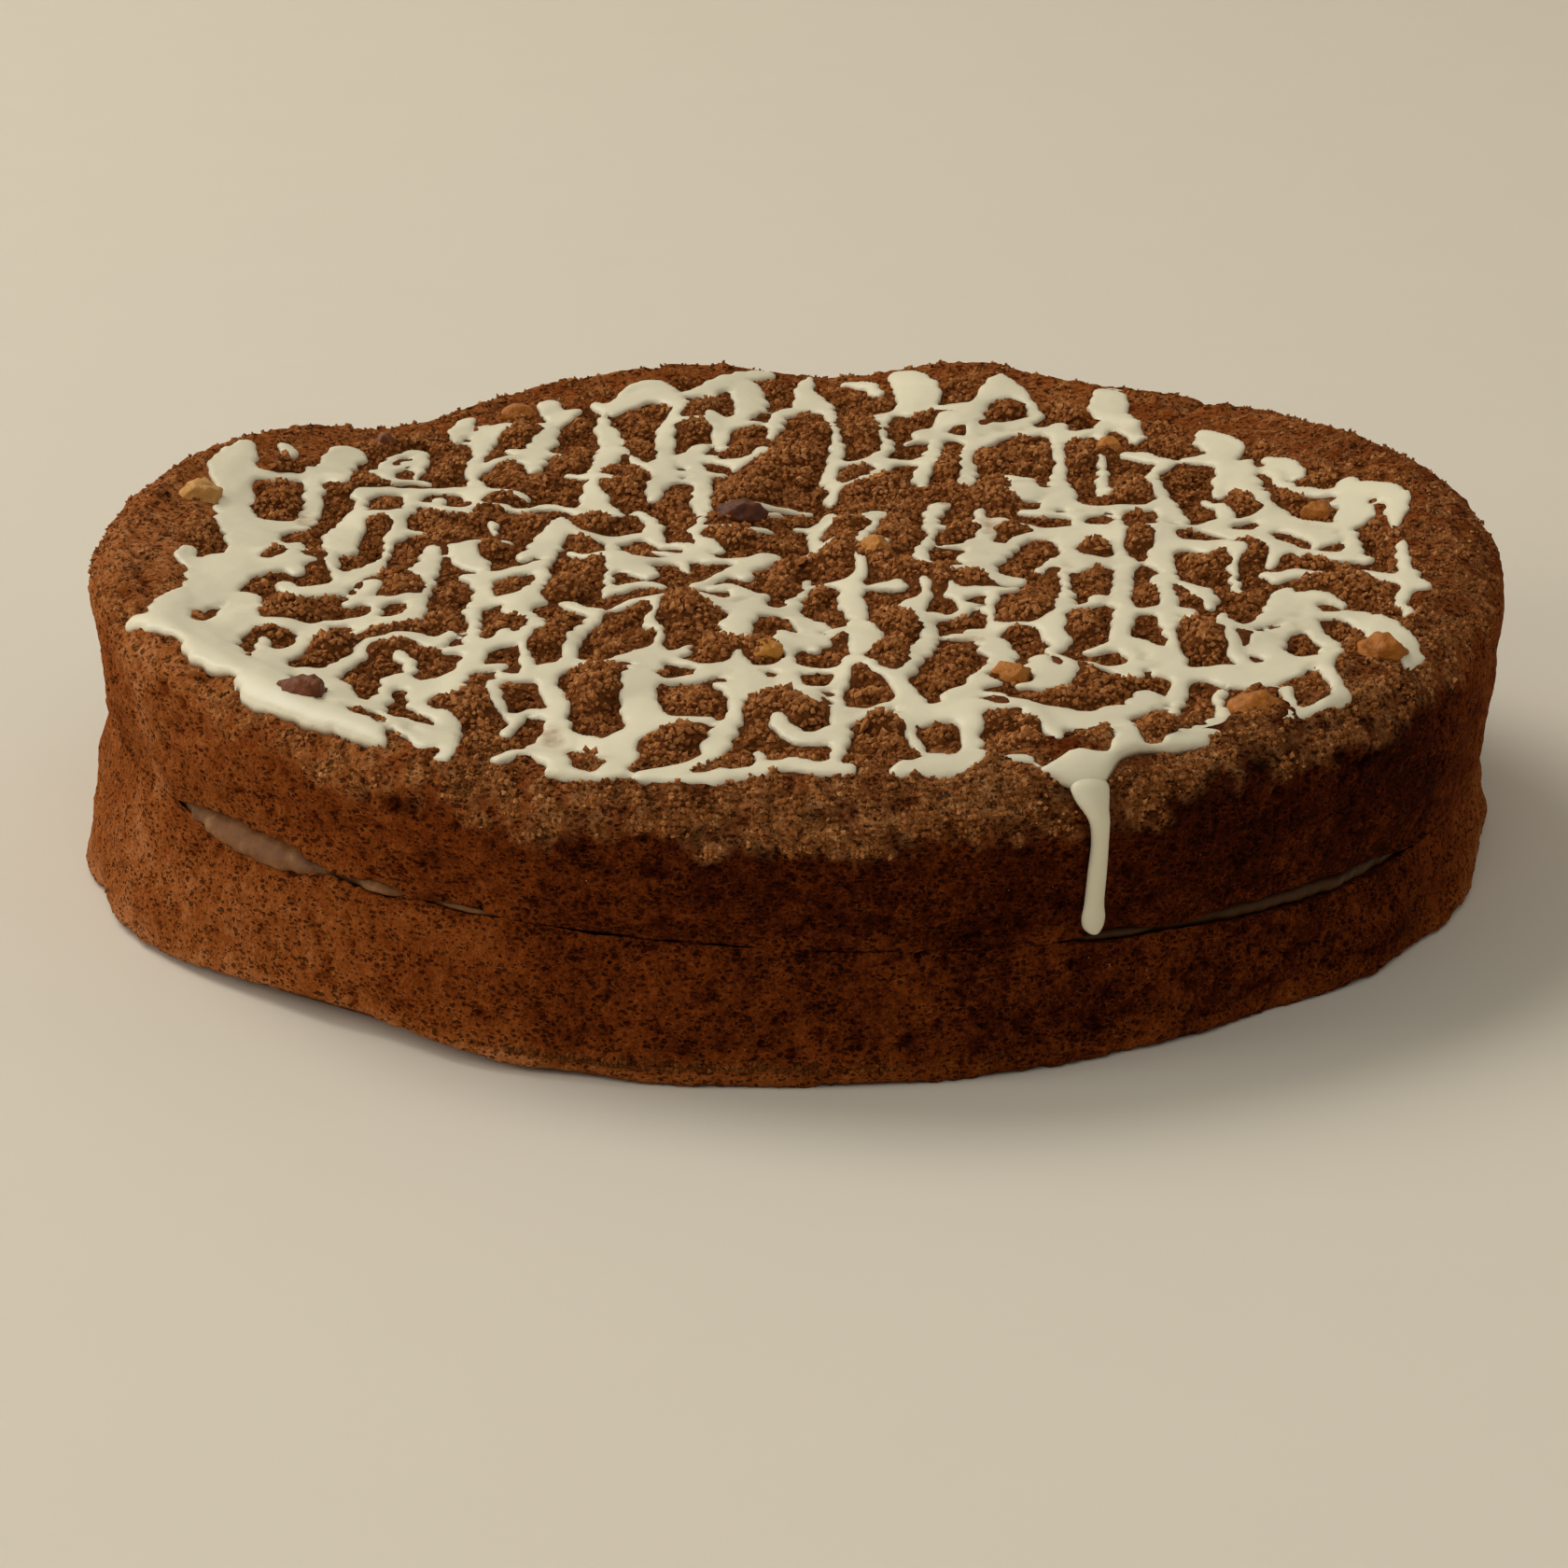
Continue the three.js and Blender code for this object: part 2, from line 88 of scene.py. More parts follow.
# Stations round the cake: angle in degrees, 0 at +X and 90 at the back, and the value there.
CREST_HEIGHTS = [
    (-180, 59), (-165, 58), (-150, 55.5), (-135, 53), (-120, 51), (-105, 50), (-75, 50.5),
    (-45, 50.5), (-30, 52), (-15, 55.5), (0, 58.5), (15, 59.8), (30, 59), (45, 58.2),
    (60, 57.6), (72, 59.2), (85, 55.4), (98, 58.6), (114, 56.4), (130, 53), (142, 58.2),
    (155, 60.2),
]
CREST_RADII = [
    (-180, 117.5), (-140, 117), (-110, 115), (-70, 115.5), (-35, 118.5), (0, 119),
    (45, 119), (90, 119.5),
]
SHOULDER_HEIGHTS = [
    (-180, 6), (-150, 6), (-120, 8), (-90, 9), (-50, 9.5), (-20, 10), (10, 9), (45, 6),
    (90, 4.5), (150, 6),
]
CRUMBLE_RADII = [
    (-180, 106), (-140, 111), (-90, 112), (-50, 112), (0, 109), (45, 104), (90, 111),
    (140, 105),
]
CLUMPS = {"count": 50, "smallest": 6.6, "largest": 9.4, "squash": 0.72, "sink": 2.6, "edge": 6.0}
GOLDEN_ANGLE = 137.508


def hermite(t, start, end, start_slope, end_slope):
    """A smooth curve from start to end with the given slopes, for t from 0 to 1."""
    return (
        (2 * t**3 - 3 * t**2 + 1) * start
        + (t**3 - 2 * t**2 + t) * start_slope
        + (3 * t**2 - 2 * t**3) * end
        + (t**3 - t**2) * end_slope
    )


def around(stations, angle):
    """A smooth periodic curve through the stations, read at angles in degrees."""
    at = np.array([s[0] for s in stations], float)
    value = np.array([s[1] for s in stations], float)
    count = len(at)
    turned = (np.asarray(angle, float) + 180) % 360 - 180
    index = np.searchsorted(at, turned, side="right") - 1

    def read(i):
        lap = np.floor_divide(i, count)
        return at[i - lap * count] + 360 * lap, value[i - lap * count]

    (a0, v0), (a1, v1), (a2, v2), (a3, v3) = (read(index + k) for k in (-1, 0, 1, 2))
    span = a2 - a1
    start_slope = (v2 - v0) / (a2 - a0) * span
    end_slope = (v3 - v1) / (a3 - a1) * span
    return hermite((turned - a1) / span, v1, v2, start_slope, end_slope)


def near(angle, middle, half):
    """1 at the middle angle, fading away on both sides of it."""
    away = (np.asarray(angle, float) - middle + 180) % 360 - 180
    return np.exp(-((away / half) ** 2))


def at(place, angle):
    return near(angle, place["angle"], place["half"])


def summed(places, angle):
    """The sum of amounts that fade away on both sides: each place is amount, angle and half width."""
    return sum(amount * near(angle, middle, half) for amount, middle, half in places)


def shifted(size, angle):
    """The radius of a circle whose centre is shifted along x."""
    return size["radius"] + size["shift"] * np.cos(np.radians(angle))


def mix(a, b, share):
    return a + (b - a) * share


def smooth_step(low, high, value):
    t = np.clip((value - low) / (high - low), 0, 1)
    return t * t * (3 - 2 * t)


def rippled(waves_round, angle, height):
    turn = np.radians(angle)
    return sum(
        size * np.sin(number * turn + twist * height + start) for size, number, twist, start in waves_round
    )


def side_relief(angle, height):
    return rippled(SIDE_WAVES, angle, height)


def base_radius(angle):
    return BASE["radius"] + BASE["wobble"] * rippled(FOOT_WAVES, angle, 0) - LIFT["inset"] * at(LIFT, angle)


def seam_plane(x, y):
    return SEAM["height"] + SEAM["slope_x"] * x + SEAM["slope_y"] * y


def filling_half(angle):
    squeezed = (SMEAR["thickness"] - FILLING["thickness"]) * at(SMEAR, angle)
    leaking = (LEAK["thickness"] - FILLING["thickness"]) * at(LEAK, angle)
    ragged = 1 + 0.4 * side_relief(6 * angle, 55)
    return (FILLING["thickness"] + (squeezed + leaking) * ragged) / 2


def rim_height(angle):
    return around(CREST_HEIGHTS, angle) - NOTCH["depth"] * at(NOTCH, angle)


def top_height(x, y):
    """Height of the cake's top surface inside its crest."""
    angle = np.degrees(np.arctan2(y, x))
    reach = np.minimum(1, np.hypot(x, y) / around(CREST_RADII, angle))
    rise = (rim_height(angle) - MIDDLE_HEIGHT) * reach**RISE_AT_RIM
    across = ((x - CREASE["x"]) / CREASE["half_width"]) ** 2
    along = ((y - CREASE["y"]) / CREASE["half_length"]) ** 2
    hills = HILLS["height"] * np.sin(x / HILLS["width"] + 0.6) * np.cos(y / HILLS["length"])
    hills += HILLS["slanted_height"] * np.sin((x + y) / HILLS["slanted_width"])
    return MIDDLE_HEIGHT + rise + hills - CREASE["depth"] * np.exp(-across - along)


def outer_height(x, y):
    """Height of the top surface, rounding down over the shoulder outside the crest."""
    angle = np.degrees(np.arctan2(y, x))
    crest = around(CREST_RADII, angle)
    wall = shifted(BULGE, angle)
    radius = np.hypot(x, y)
    out = np.clip((radius - crest) / (wall - crest), 0, 1)
    drop = around(SHOULDER_HEIGHTS, angle)
    crumble = around(CRUMBLE_RADII, angle)
    ease = smooth_step(0.6, 1, (radius - crumble) / (crest - crumble))
    relief = RIM_RELIEF * side_relief(angle, 90) * ease
    return top_height(x, y) + relief - drop * (1 - np.sqrt(1 - out**2))


def opened(angle):
    """How far the filling holds the layers' edges apart, from 0 to 1."""
    spots = sum(near(angle, middle, half) for _, middle, half in LEAK_SPOTS)
    return smooth_step(0.3, 0.85, at(SMEAR, angle) + at(LEAK, angle) + 0.6 * spots)


def lip_half(angle):
    """Half the opening between the layers' edges: nearly shut where no filling shows."""
    ragged = 0.25 * at(TORN_GAP, angle) + 0.12 * side_relief(3 * angle, 10)
    return mix(np.maximum(SHUT_LIPS, ragged), filling_half(angle) + GAP, opened(angle))


def lip_rounding(angle):
    return mix(EDGE_ROUNDING["shut"], EDGE_ROUNDING["open"], opened(angle))


# ------------------------------------------------------------------ noise and grids


def waves(points, wavelength, seed, count=14):
    """Smooth noise of about -1 to 1: a sum of plane waves in seeded random directions."""
    rng = np.random.default_rng(seed)
    total = np.zeros(len(points))
    for _ in range(count):
        way = rng.normal(size=points.shape[1])
        way *= 2 * math.pi / (wavelength * rng.uniform(0.7, 1.5) * np.linalg.norm(way))
        total += np.sin(points @ way + rng.uniform(0, 2 * math.pi))
    return total / math.sqrt(count / 2) / 1.6


def blur(field, sigma):
    """Gaussian blur of a square field, sigma in cells."""
    wave_y = np.fft.fftfreq(field.shape[0])[:, None]
    wave_x = np.fft.rfftfreq(field.shape[1])[None, :]
    falloff = np.exp(-2 * (math.pi * sigma) ** 2 * (wave_x**2 + wave_y**2))
    return np.fft.irfft2(np.fft.rfft2(field) * falloff, s=field.shape)


def fraction(k, seed):
    """A repeatable fraction between 0 and 1 for the k-th piece."""
    wave = np.sin(k * 12.9898 + seed * 78.233) * 43758.5453
    return wave - np.floor(wave)


class Field:
    """A square grid of heights over the top of the cake, in millimetres."""

    def __init__(self, half, step):
        self.step = step
        self.half = half
        self.axis = np.arange(-half, half + step / 2, step)
        self.x, self.y = np.meshgrid(self.axis, self.axis)
        self.angle = np.degrees(np.arctan2(self.y, self.x))
        self.radius = np.hypot(self.x, self.y)

    def flat(self):
        return np.stack([self.x.ravel(), self.y.ravel()], 1)

    def noise(self, wavelength, seed, count=14):
        return waves(self.flat(), wavelength, seed, count).reshape(self.x.shape)

    def grains(self, spacing, seed):
        """Uneven domes packed side by side, as heights of 0 to 1."""
        rng = np.random.default_rng(seed)
        count = int(2 * self.half / spacing) + 5
        offset = rng.random((3, count, count))[:2]
        size = rng.uniform(0.62, 1.05, (count, count))
        row, column = ((v + self.half) / spacing + 2 for v in (self.y, self.x))
        dome = np.zeros(self.x.shape)
        for down in (-1, 0, 1):
            for along in (-1, 0, 1):
                i = np.clip(row.astype(int) + down, 0, count - 1)
                j = np.clip(column.astype(int) + along, 0, count - 1)
                away = np.hypot(i + offset[0, i, j] - row, j + offset[1, i, j] - column) / size[i, j]
                dome = np.maximum(dome, size[i, j] * np.sqrt(np.clip(1 - away**2, 0, 1)))
        return dome

    def window(self, x, y, reach):
        """The slices of the cells within reach of a point."""
        low_x, low_y = (int(max(0, (v + self.half - reach) // self.step)) for v in (x, y))
        high_x, high_y = (int((v + self.half + reach) // self.step + 2) for v in (x, y))
        return slice(low_y, high_y), slice(low_x, high_x)

    def read(self, values, x, y):
        """Values between the cells, by linear interpolation."""
        fx = np.clip((x + self.half) / self.step, 0, len(self.axis) - 1.001)
        fy = np.clip((y + self.half) / self.step, 0, len(self.axis) - 1.001)
        ix, iy = fx.astype(int), fy.astype(int)
        tx, ty = fx - ix, fy - iy
        top = mix(values[iy, ix], values[iy, ix + 1], tx)
        bottom = mix(values[iy + 1, ix], values[iy + 1, ix + 1], tx)
        return mix(top, bottom, ty)


# ------------------------------------------------------------------ making meshes


def make_piece(name, points, faces, material, attributes=None, smooth=True):
    """A mesh object from points in millimetres; attributes are one float for each point."""
    mesh = bpy.data.meshes.new(name)
    faces = [np.asarray(group) for group in (faces if isinstance(faces, list) else [faces])]
    sizes = np.concatenate([np.full(len(group), group.shape[1]) for group in faces])
    corners = np.concatenate([group.ravel() for group in faces])
    mesh.vertices.add(len(points))
    mesh.vertices.foreach_set("co", (np.asarray(points) * MM).astype(np.float32).ravel())
    mesh.loops.add(len(corners))
    mesh.loops.foreach_set("vertex_index", corners.astype(np.int32))
    mesh.polygons.add(len(sizes))
    starts = np.concatenate([[0], np.cumsum(sizes)[:-1]])
    mesh.polygons.foreach_set("loop_start", starts.astype(np.int32))
    mesh.polygons.foreach_set("use_smooth", np.full(len(sizes), smooth))
    mesh.update(calc_edges=True)
    mesh.validate()
    for key, values in (attributes or {}).items():
        layer = mesh.attributes.new(key, "FLOAT", "POINT")
        layer.data.foreach_set("value", np.asarray(values, np.float32))
    mesh.materials.append(material)
    return add_object(name, mesh)


def add_object(name, data):
    made = bpy.data.objects.new(name, data)
    bpy.context.scene.collection.objects.link(made)
    return made


def ring_faces(rows, columns):
    """Faces of a grid whose columns close on themselves, with a fan over each end."""
    row, column = np.meshgrid(np.arange(rows - 1), np.arange(columns), indexing="ij")
    here = row * columns + column
    beside = row * columns + (column + 1) % columns
    quads = np.stack([here, beside, beside + columns, here + columns], -1).reshape(-1, 4)
    around_ring = np.arange(columns)
    after = (around_ring + 1) % columns
    first, last = rows * columns, rows * columns + 1
    start = np.stack([np.full(columns, first), after, around_ring], 1)
    far = (rows - 1) * columns
    end = np.stack([np.full(columns, last), around_ring + far, after + far], 1)
    return [quads, np.concatenate([start, end])]


def ring_piece(name, grid, material, attributes):
    """A closed mesh from a grid of rings, with attributes for each of its points."""
    ends = [grid[0].mean(0)[None], grid[-1].mean(0)[None]]
    points = np.concatenate([grid.reshape(-1, 3), *ends])
    values = {key: np.append(part.ravel(), [0.0, 0.0]) for key, part in attributes.items()}
    return make_piece(name, points, ring_faces(*grid.shape[:2]), material, values)


def ring_angles():
    return np.arange(SIDE_STEPS) * 360 / SIDE_STEPS - 180


def ring_grid(rows):
    """Grid points from rows of radius and height, each with a value for every angle."""
    turn = np.radians(ring_angles())
    return np.stack([
        np.stack([radius * np.cos(turn), radius * np.sin(turn), height], -1) for radius, height in rows
    ])


def grid_normals(grid):
    along = np.gradient(grid, axis=0)
    across = np.roll(grid, -1, axis=1) - np.roll(grid, 1, axis=1)
    normal = np.cross(across, along)
    return normal / np.maximum(1e-9, np.linalg.norm(normal, axis=-1, keepdims=True))


def seam_row(radius, side, half, clearance):
    """A row at a radius for each angle, on one side of the filling's plane."""
    turn = np.radians(ring_angles())
    height = seam_plane(radius * np.cos(turn), radius * np.sin(turn)) + side * (half + clearance)
    return radius + 0 * turn, height


# How far a pit's cells are looked for, in its radii, the least size of a cell, and a pit's depth.
PIT = {"reach": 1.3, "cell": 0.6, "depth": 0.75}


def stamp_pits(grid, depth, count, sizes, seed, rows):
    """Adds round pits to a depth field laid over a ring grid: baked-in air holes."""
    rng = np.random.default_rng(seed)
    row_count, columns = depth.shape
    for _ in range(count):
        row = int(rng.integers(*rows))
        column = int(rng.integers(0, columns))
        size = rng.uniform(*sizes)
        reach = int(size * PIT["reach"] / PIT["cell"]) + 2
        near_rows = np.arange(max(0, row - reach), min(row_count, row + reach + 1))
        near_columns = np.arange(column - reach, column + reach + 1) % columns
        spot = np.ix_(near_rows, near_columns)
        away = np.linalg.norm(grid[spot] - grid[row, column], axis=-1) / size
        depth[spot] = np.maximum(depth[spot], size * PIT["depth"] * np.clip(1 - away**2, 0, 1))


# An eight-sided grain: its points and triangles.
GRAIN_POINTS = np.array([(1, 0, 0), (-1, 0, 0), (0, 1, 0), (0, -1, 0), (0, 0, 1), (0, 0, -1)], float)
GRAIN_FACES = np.array([
    (0, 2, 4), (2, 1, 4), (1, 3, 4), (3, 0, 4), (2, 0, 5), (1, 2, 5), (3, 1, 5), (0, 3, 5),
])


GRAIN = {"squash": (0.7, 1.2), "jitter": (-0.25, 0.25), "proud": 0.2}


def scatter_grains(name, places, normals, sizes, tones, material, seed):
    """Many small uneven grains as one mesh."""
    rng = np.random.default_rng(seed)
    count = len(places)
    squash = rng.uniform(*GRAIN["squash"], (count, 1, 3))
    turn = np.linalg.qr(rng.normal(size=(count, 3, 3)))[0]
    turn[np.linalg.det(turn) < 0, :, 0] *= -1
    jitter = 1 + rng.uniform(*GRAIN["jitter"], (count, len(GRAIN_POINTS), 1))
    lumps = (GRAIN_POINTS[None] * jitter * squash * sizes[:, None, None]) @ turn
    lumps += (places + normals * sizes[:, None] * GRAIN["proud"])[:, None]
    offsets = np.arange(count)[:, None, None] * len(GRAIN_POINTS)
    faces = (GRAIN_FACES[None] + offsets).reshape(-1, 3)
    tone = np.repeat(tones, len(GRAIN_POINTS))
    return make_piece(name, lumps.reshape(-1, 3), faces, material, {"tone": tone}, smooth=False)


# ------------------------------------------------------------------ materials


class Shader:
    """A material's node tree, with short ways to add and join nodes."""

    def __init__(self, name):
        self.material = bpy.data.materials.new(name)
        self.material.use_nodes = True
        self.tree = self.material.node_tree
        self.surface = self.tree.nodes["Principled BSDF"]
        self.place = self.node("ShaderNodeTexCoord").outputs["Object"]

    def node(self, kind, settings=None, **inputs):
        made = self.tree.nodes.new(kind)
        for key, value in (settings or {}).items():
            setattr(made, key, value)
        for key, value in inputs.items():
            self.put(made.inputs[key.replace("_", " ")], value)
        return made

    def put(self, socket, value):
        """Links a socket or sets it; a colour of three numbers gets full alpha."""
        if isinstance(value, bpy.types.NodeSocket):
            self.tree.links.new(value, socket)
        elif socket.type == "RGBA" and len(value) == 3:
            socket.default_value = (*value, 1)
        else:
            socket.default_value = value

    def attribute(self, name):
        return self.node("ShaderNodeAttribute", {"attribute_name": name}).outputs["Fac"]

    def noise(self, size_mm, detail=3.0, roughness=0.55, output="Fac"):
        scale = 1 / (size_mm * MM)
        made = self.node(
            "ShaderNodeTexNoise", Vector=self.place, Scale=scale, Detail=detail, Roughness=roughness,
        )
        return made.outputs[output]

    def cells(self, size_mm, place=None):
        made = self.node("ShaderNodeTexVoronoi", Vector=place or self.place, Scale=1 / (size_mm * MM))
        return made.outputs["Distance"]

    def ramp(self, value, stops):
        """Stops are (position, colour or grey)."""
        made = self.node("ShaderNodeValToRGB", Fac=value)
        band = made.color_ramp
        while len(band.elements) < len(stops):
            band.elements.new(0.5)
        for element, (position, colour) in zip(band.elements, stops):
            grey = isinstance(colour, (int, float))
            element.position = position
            element.color = (*([colour] * 3 if grey else colour), 1)
        return made.outputs["Color"]

    def add(self, *values):
        total = values[0]
        for value in values[1:]:
            total = self.math("ADD", total, value)
        return total

    def swing(self, value, size):
        """A value of 0 to 1 as a swing of the given size around zero."""
        return self.math("MULTIPLY", self.math("SUBTRACT", value, 0.5), size)

    def math(self, operation, a, b=0.0, kind="ShaderNodeMath"):
        made = self.node(kind, {"operation": operation})
        self.put(made.inputs[0], a)
        self.put(made.inputs[1], b)
        return made.outputs[0]

    def vector(self, operation, a, b):
        return self.math(operation, a, b, "ShaderNodeVectorMath")

    def blend(self, share, a, b):
        made = self.node("ShaderNodeMix", {"data_type": "RGBA"}, Factor=share)
        self.put(made.inputs[6], a)
        self.put(made.inputs[7], b)
        return made.outputs[2]

    def bump(self, height, depth_mm, normal=None):
        made = self.node("ShaderNodeBump", Height=height, Distance=depth_mm * MM, Strength=1.0)
        if normal is not None:
            self.put(made.inputs["Normal"], normal)
        return made.outputs["Normal"]

    def finish(self, **sockets):
        for key, value in sockets.items():
            self.put(self.surface.inputs[key.replace("_", " ")], value)
        return self.material


def sponge_material():
    s = Shader("sponge")
    tone = s.attribute("tone")
    mixed = s.add(tone, s.swing(s.noise(16, 3), 0.5), s.swing(s.noise(3.5, 3, 0.6), 0.35))
    mixed = s.add(mixed, s.swing(s.noise(1.1, 4, 0.7), 0.65), s.swing(s.noise(0.5, 2, 0.6), 0.5))
    colour = s.ramp(mixed, [
        (0.0, (0.014, 0.0018, 0.0004)),
        (0.25, (0.058, 0.0095, 0.0015)),
        (0.5, (0.180, 0.037, 0.0048)),
        (0.75, (0.310, 0.086, 0.0160)),
        (1.0, (0.470, 0.178, 0.062)),
    ])
    clumped = s.add(s.noise(1.1, 4, 0.7), s.swing(s.noise(9, 2), 0.4), s.swing(s.noise(3.2, 2), 0.5))
    grains = s.ramp(clumped, [
        (0.28, (0.07, 0.017, 0.0035)), (0.5, (0.40, 0.148, 0.040)), (0.72, (0.80, 0.40, 0.145)),
    ])
    colour = s.blend(s.attribute("crumbs"), colour, grains)
    squeezed = s.vector("MULTIPLY", s.place, (1, 1, 1.9))
    shaken = s.vector("ADD", squeezed, s.vector("MULTIPLY", s.noise(1.2, 1, 0.5, "Color"), (0.0014,) * 3))
    holes = s.ramp(s.cells(1.5, place=shaken), [(0.24, 1.0), (0.38, 0.0)])
    holes = s.math("MULTIPLY", holes, s.ramp(s.noise(3.6, 2), [(0.42, 0.0), (0.52, 1.0)]))
    small = s.ramp(s.cells(1.05, place=shaken), [(0.15, 1.0), (0.30, 0.0)])
    small = s.math("MULTIPLY", small, s.ramp(s.noise(2.7, 3), [(0.42, 0.0), (0.53, 1.0)]))
    holes = s.math("MAXIMUM", holes, small)
    # The pores are painted near black: painted shade inside the air holes, which also give the bumps below.
    colour = s.blend(s.math("MULTIPLY", holes, 0.72), colour, (0.008, 0.0014, 0.0004))
    specks = s.ramp(s.cells(1.7), [(0.06, 1.0), (0.10, 0.0)])
    specks = s.math("MULTIPLY", specks, s.ramp(s.noise(4.0, 2), [(0.62, 0.0), (0.68, 1.0)]))
    colour = s.blend(specks, colour, (0.36, 0.18, 0.07))
    fine = s.bump(s.noise(0.5, 4, 0.7), 0.40)
    grain = s.bump(s.noise(1.3, 4, 0.75), 0.55, fine)
    bumps = s.bump(s.math("SUBTRACT", 1.0, holes), 0.8, grain)
    return s.finish(Base_Color=colour, Roughness=0.95, Specular_IOR_Level=0.02, Normal=bumps)


def crumble_material():
    s = Shader("crumble")
    tone = s.attribute("tone")
    mixed = s.add(tone, s.swing(s.noise(1.1, 4, 0.7), 0.6), s.swing(s.noise(9, 2), 0.3))
    # Low tones, given to the bed and to grains deep in hollows, paint them dark as shade between the grains.
    colour = s.ramp(mixed, [
        (0.0, (0.032, 0.0075, 0.0010)),
        (0.3, (0.190, 0.057, 0.0100)),
        (0.6, (0.370, 0.132, 0.0330)),
        (1.0, (0.600, 0.270, 0.0900)),
    ])
    grain = s.bump(s.noise(0.5, 4, 0.75), 0.35)
    return s.finish(Base_Color=colour, Roughness=0.85, Specular_IOR_Level=0.06, Normal=grain)


def icing_material():
    s = Shader("icing")
    thin = s.attribute("thin")
    stains = s.math("MULTIPLY", thin, s.ramp(s.noise(2.6, 3), [(0.35, 0.15), (0.7, 1.0)]))
    colour = s.blend(stains, (0.70, 0.64, 0.445), (0.42, 0.29, 0.17))
    bumps = s.bump(s.noise(2.5, 2), 0.10)
    return s.finish(
        Base_Color=colour, Roughness=0.42, Specular_IOR_Level=0.35, Normal=bumps,
        Subsurface_Weight=0.25, Subsurface_Radius=(1.0, 0.8, 0.5), Subsurface_Scale=0.0012,
    )


def filling_material():
    s = Shader("filling")
    pale = s.ramp(s.noise(4.0, 4, 0.6), [
        (0.3, (0.13, 0.047, 0.012)), (0.55, (0.20, 0.080, 0.024)), (0.75, (0.33, 0.165, 0.060)),
    ])
    colour = s.blend(s.attribute("tone"), (0.046, 0.0165, 0.0022), pale)
    bumps = s.bump(s.noise(1.8, 3), 0.3)
    return s.finish(Base_Color=colour, Roughness=0.5, Specular_IOR_Level=0.15, Normal=bumps)


def walnut_material():
    s = Shader("walnut")
    mixed = s.add(s.attribute("tone"), s.swing(s.noise(2.6, 4, 0.65), 0.5))
    colour = s.ramp(mixed, [
        (0.0, (0.050, 0.0100, 0.0025)),
        (0.3, (0.170, 0.0420, 0.0040)),
        (0.55, (0.400, 0.1250, 0.0050)),
        (0.8, (0.520, 0.2150, 0.0250)),
        (1.0, (0.600, 0.3200, 0.0900)),
    ])
    bumps = s.bump(s.noise(1.6, 4, 0.7), 0.6)
    return s.finish(Base_Color=colour, Roughness=0.4, Specular_IOR_Level=0.25, Normal=bumps)


def plain_material(name, colour, roughness):
    s = Shader(name)
    grain = s.noise(40, 2)
    shade = s.blend(s.math("MULTIPLY", grain, 0.02), colour, (0, 0, 0))
    return s.finish(Base_Color=shade, Roughness=roughness, Specular_IOR_Level=0.2)


# ------------------------------------------------------------------ the sponge layers


# How much lighter or darker the sponge is painted round the cake, partly a darker bake and partly painted
# shade at the front and right, away from the key light: amount, angle and half width.
BAKE_AND_SHADE = [(0.37, -176, 44), (0.21, -132, 28), (0.26, 85, 75), (-0.05, -40, 28)]
PALE_RIGHT = [(0.36, -8, 17)]
PALE_FOOT = [(0.22, -112, 26)]
# Where crumbs lie thickly on the shoulder: share, angle and half width.
CRUMBY = [(1.0, -88, 37), (0.36, -35, 36)]
# How far down from the crest the crumbs reach, more so in front, and how uneven their lower edge is.
CRUMB_BAND = {"depth": 5, "more_in_front": 5, "wander": 1.8, "ragged": 1.3, "grainy": 1.0}


def bake_and_shade_tone(angle, height):
    """How light the sponge is painted: paler at the left and the back, dark at the front and right, partly a
    darker bake and partly painted shade on the sides away from the key light; lighter towards the foot and
    near the rim.
    """
    right = summed(PALE_RIGHT, angle) * smooth_step(56, 46, height)
    foot = 0.20 * smooth_step(8, 0, height) + 0.09 * smooth_step(26, 18, height)
    foot = foot + summed(PALE_FOOT, angle) * smooth_step(7, 1, height)
    rim = 0.12 * smooth_step(44, 54, height)
    torn = 0.22 * at(TORN, angle) * smooth_step(24, 30, height) * smooth_step(57, 52, height)
    return 0.25 + summed(BAKE_AND_SHADE, angle) + right + foot + rim + torn


def lip_rows(angle, side):
    """Rows from a layer's hidden face round its edge at the seam, and where its side starts."""
    waist, half = shifted(WAIST, angle), filling_half(angle)
    flat = np.full_like(angle, SEAM["flat"])
    rows = [seam_row(flat, side, FILLING["thickness"] / 2, GAP), seam_row(waist - LIP_INSET, side, half, GAP)]
    lip = lip_rounding(angle)
    radius, height = seam_row(waist - lip, side, lip_half(angle), 0)
    for slope in np.radians([0, 30, 60]):
        rows.append((radius + lip * np.sin(slope), height + side * lip * (1 - np.cos(slope))))
    return rows, height + side * lip


def upper_rows():
    """Rows of the upper layer from its hidden underside over the side and rim to the recess."""
    angle = ring_angles()
    turn = np.radians(angle)
    waist, wall = shifted(WAIST, angle), shifted(BULGE, angle)
    crest_height, crest_radius = rim_height(angle), around(CREST_RADII, angle)
    shoulder = crest_height - around(SHOULDER_HEIGHTS, angle)
    crumble = around(CRUMBLE_RADII, angle)
    rows, start = lip_rows(angle, 1)
    for share in np.linspace(0, 1, 42):
        radius = mix(waist, wall, math.sin(math.pi / 2 * share)) + side_relief(angle, 30 + 30 * share)
        rows.append((radius, mix(start, shoulder, share)))
    for slope in np.linspace(6, 90, 15):
        level, rise = math.cos(math.radians(slope)), math.sin(math.radians(slope))
        radius = mix(crest_radius, wall, level) + side_relief(angle, 60 + slope / 4) * level
        height = mix(shoulder, crest_height, rise) + RIM_RELIEF * side_relief(angle, slope) * rise
        rows.append((radius, height))
    for share in np.linspace(0.93, 0, 13):
        radius = mix(crumble, crest_radius, share)
        height = top_height(radius * np.cos(turn), radius * np.sin(turn))
        rows.append((radius, height + RIM_RELIEF * side_relief(angle, 90) * smooth_step(0.6, 1, share)))
    rows.append((crumble - RECESS_SLOPE * 0.5, mix(rows[-1][1], RECESS_FLOOR, 0.5)))
    rows.append((crumble - RECESS_SLOPE, np.full_like(angle, RECESS_FLOOR)))
    return rows


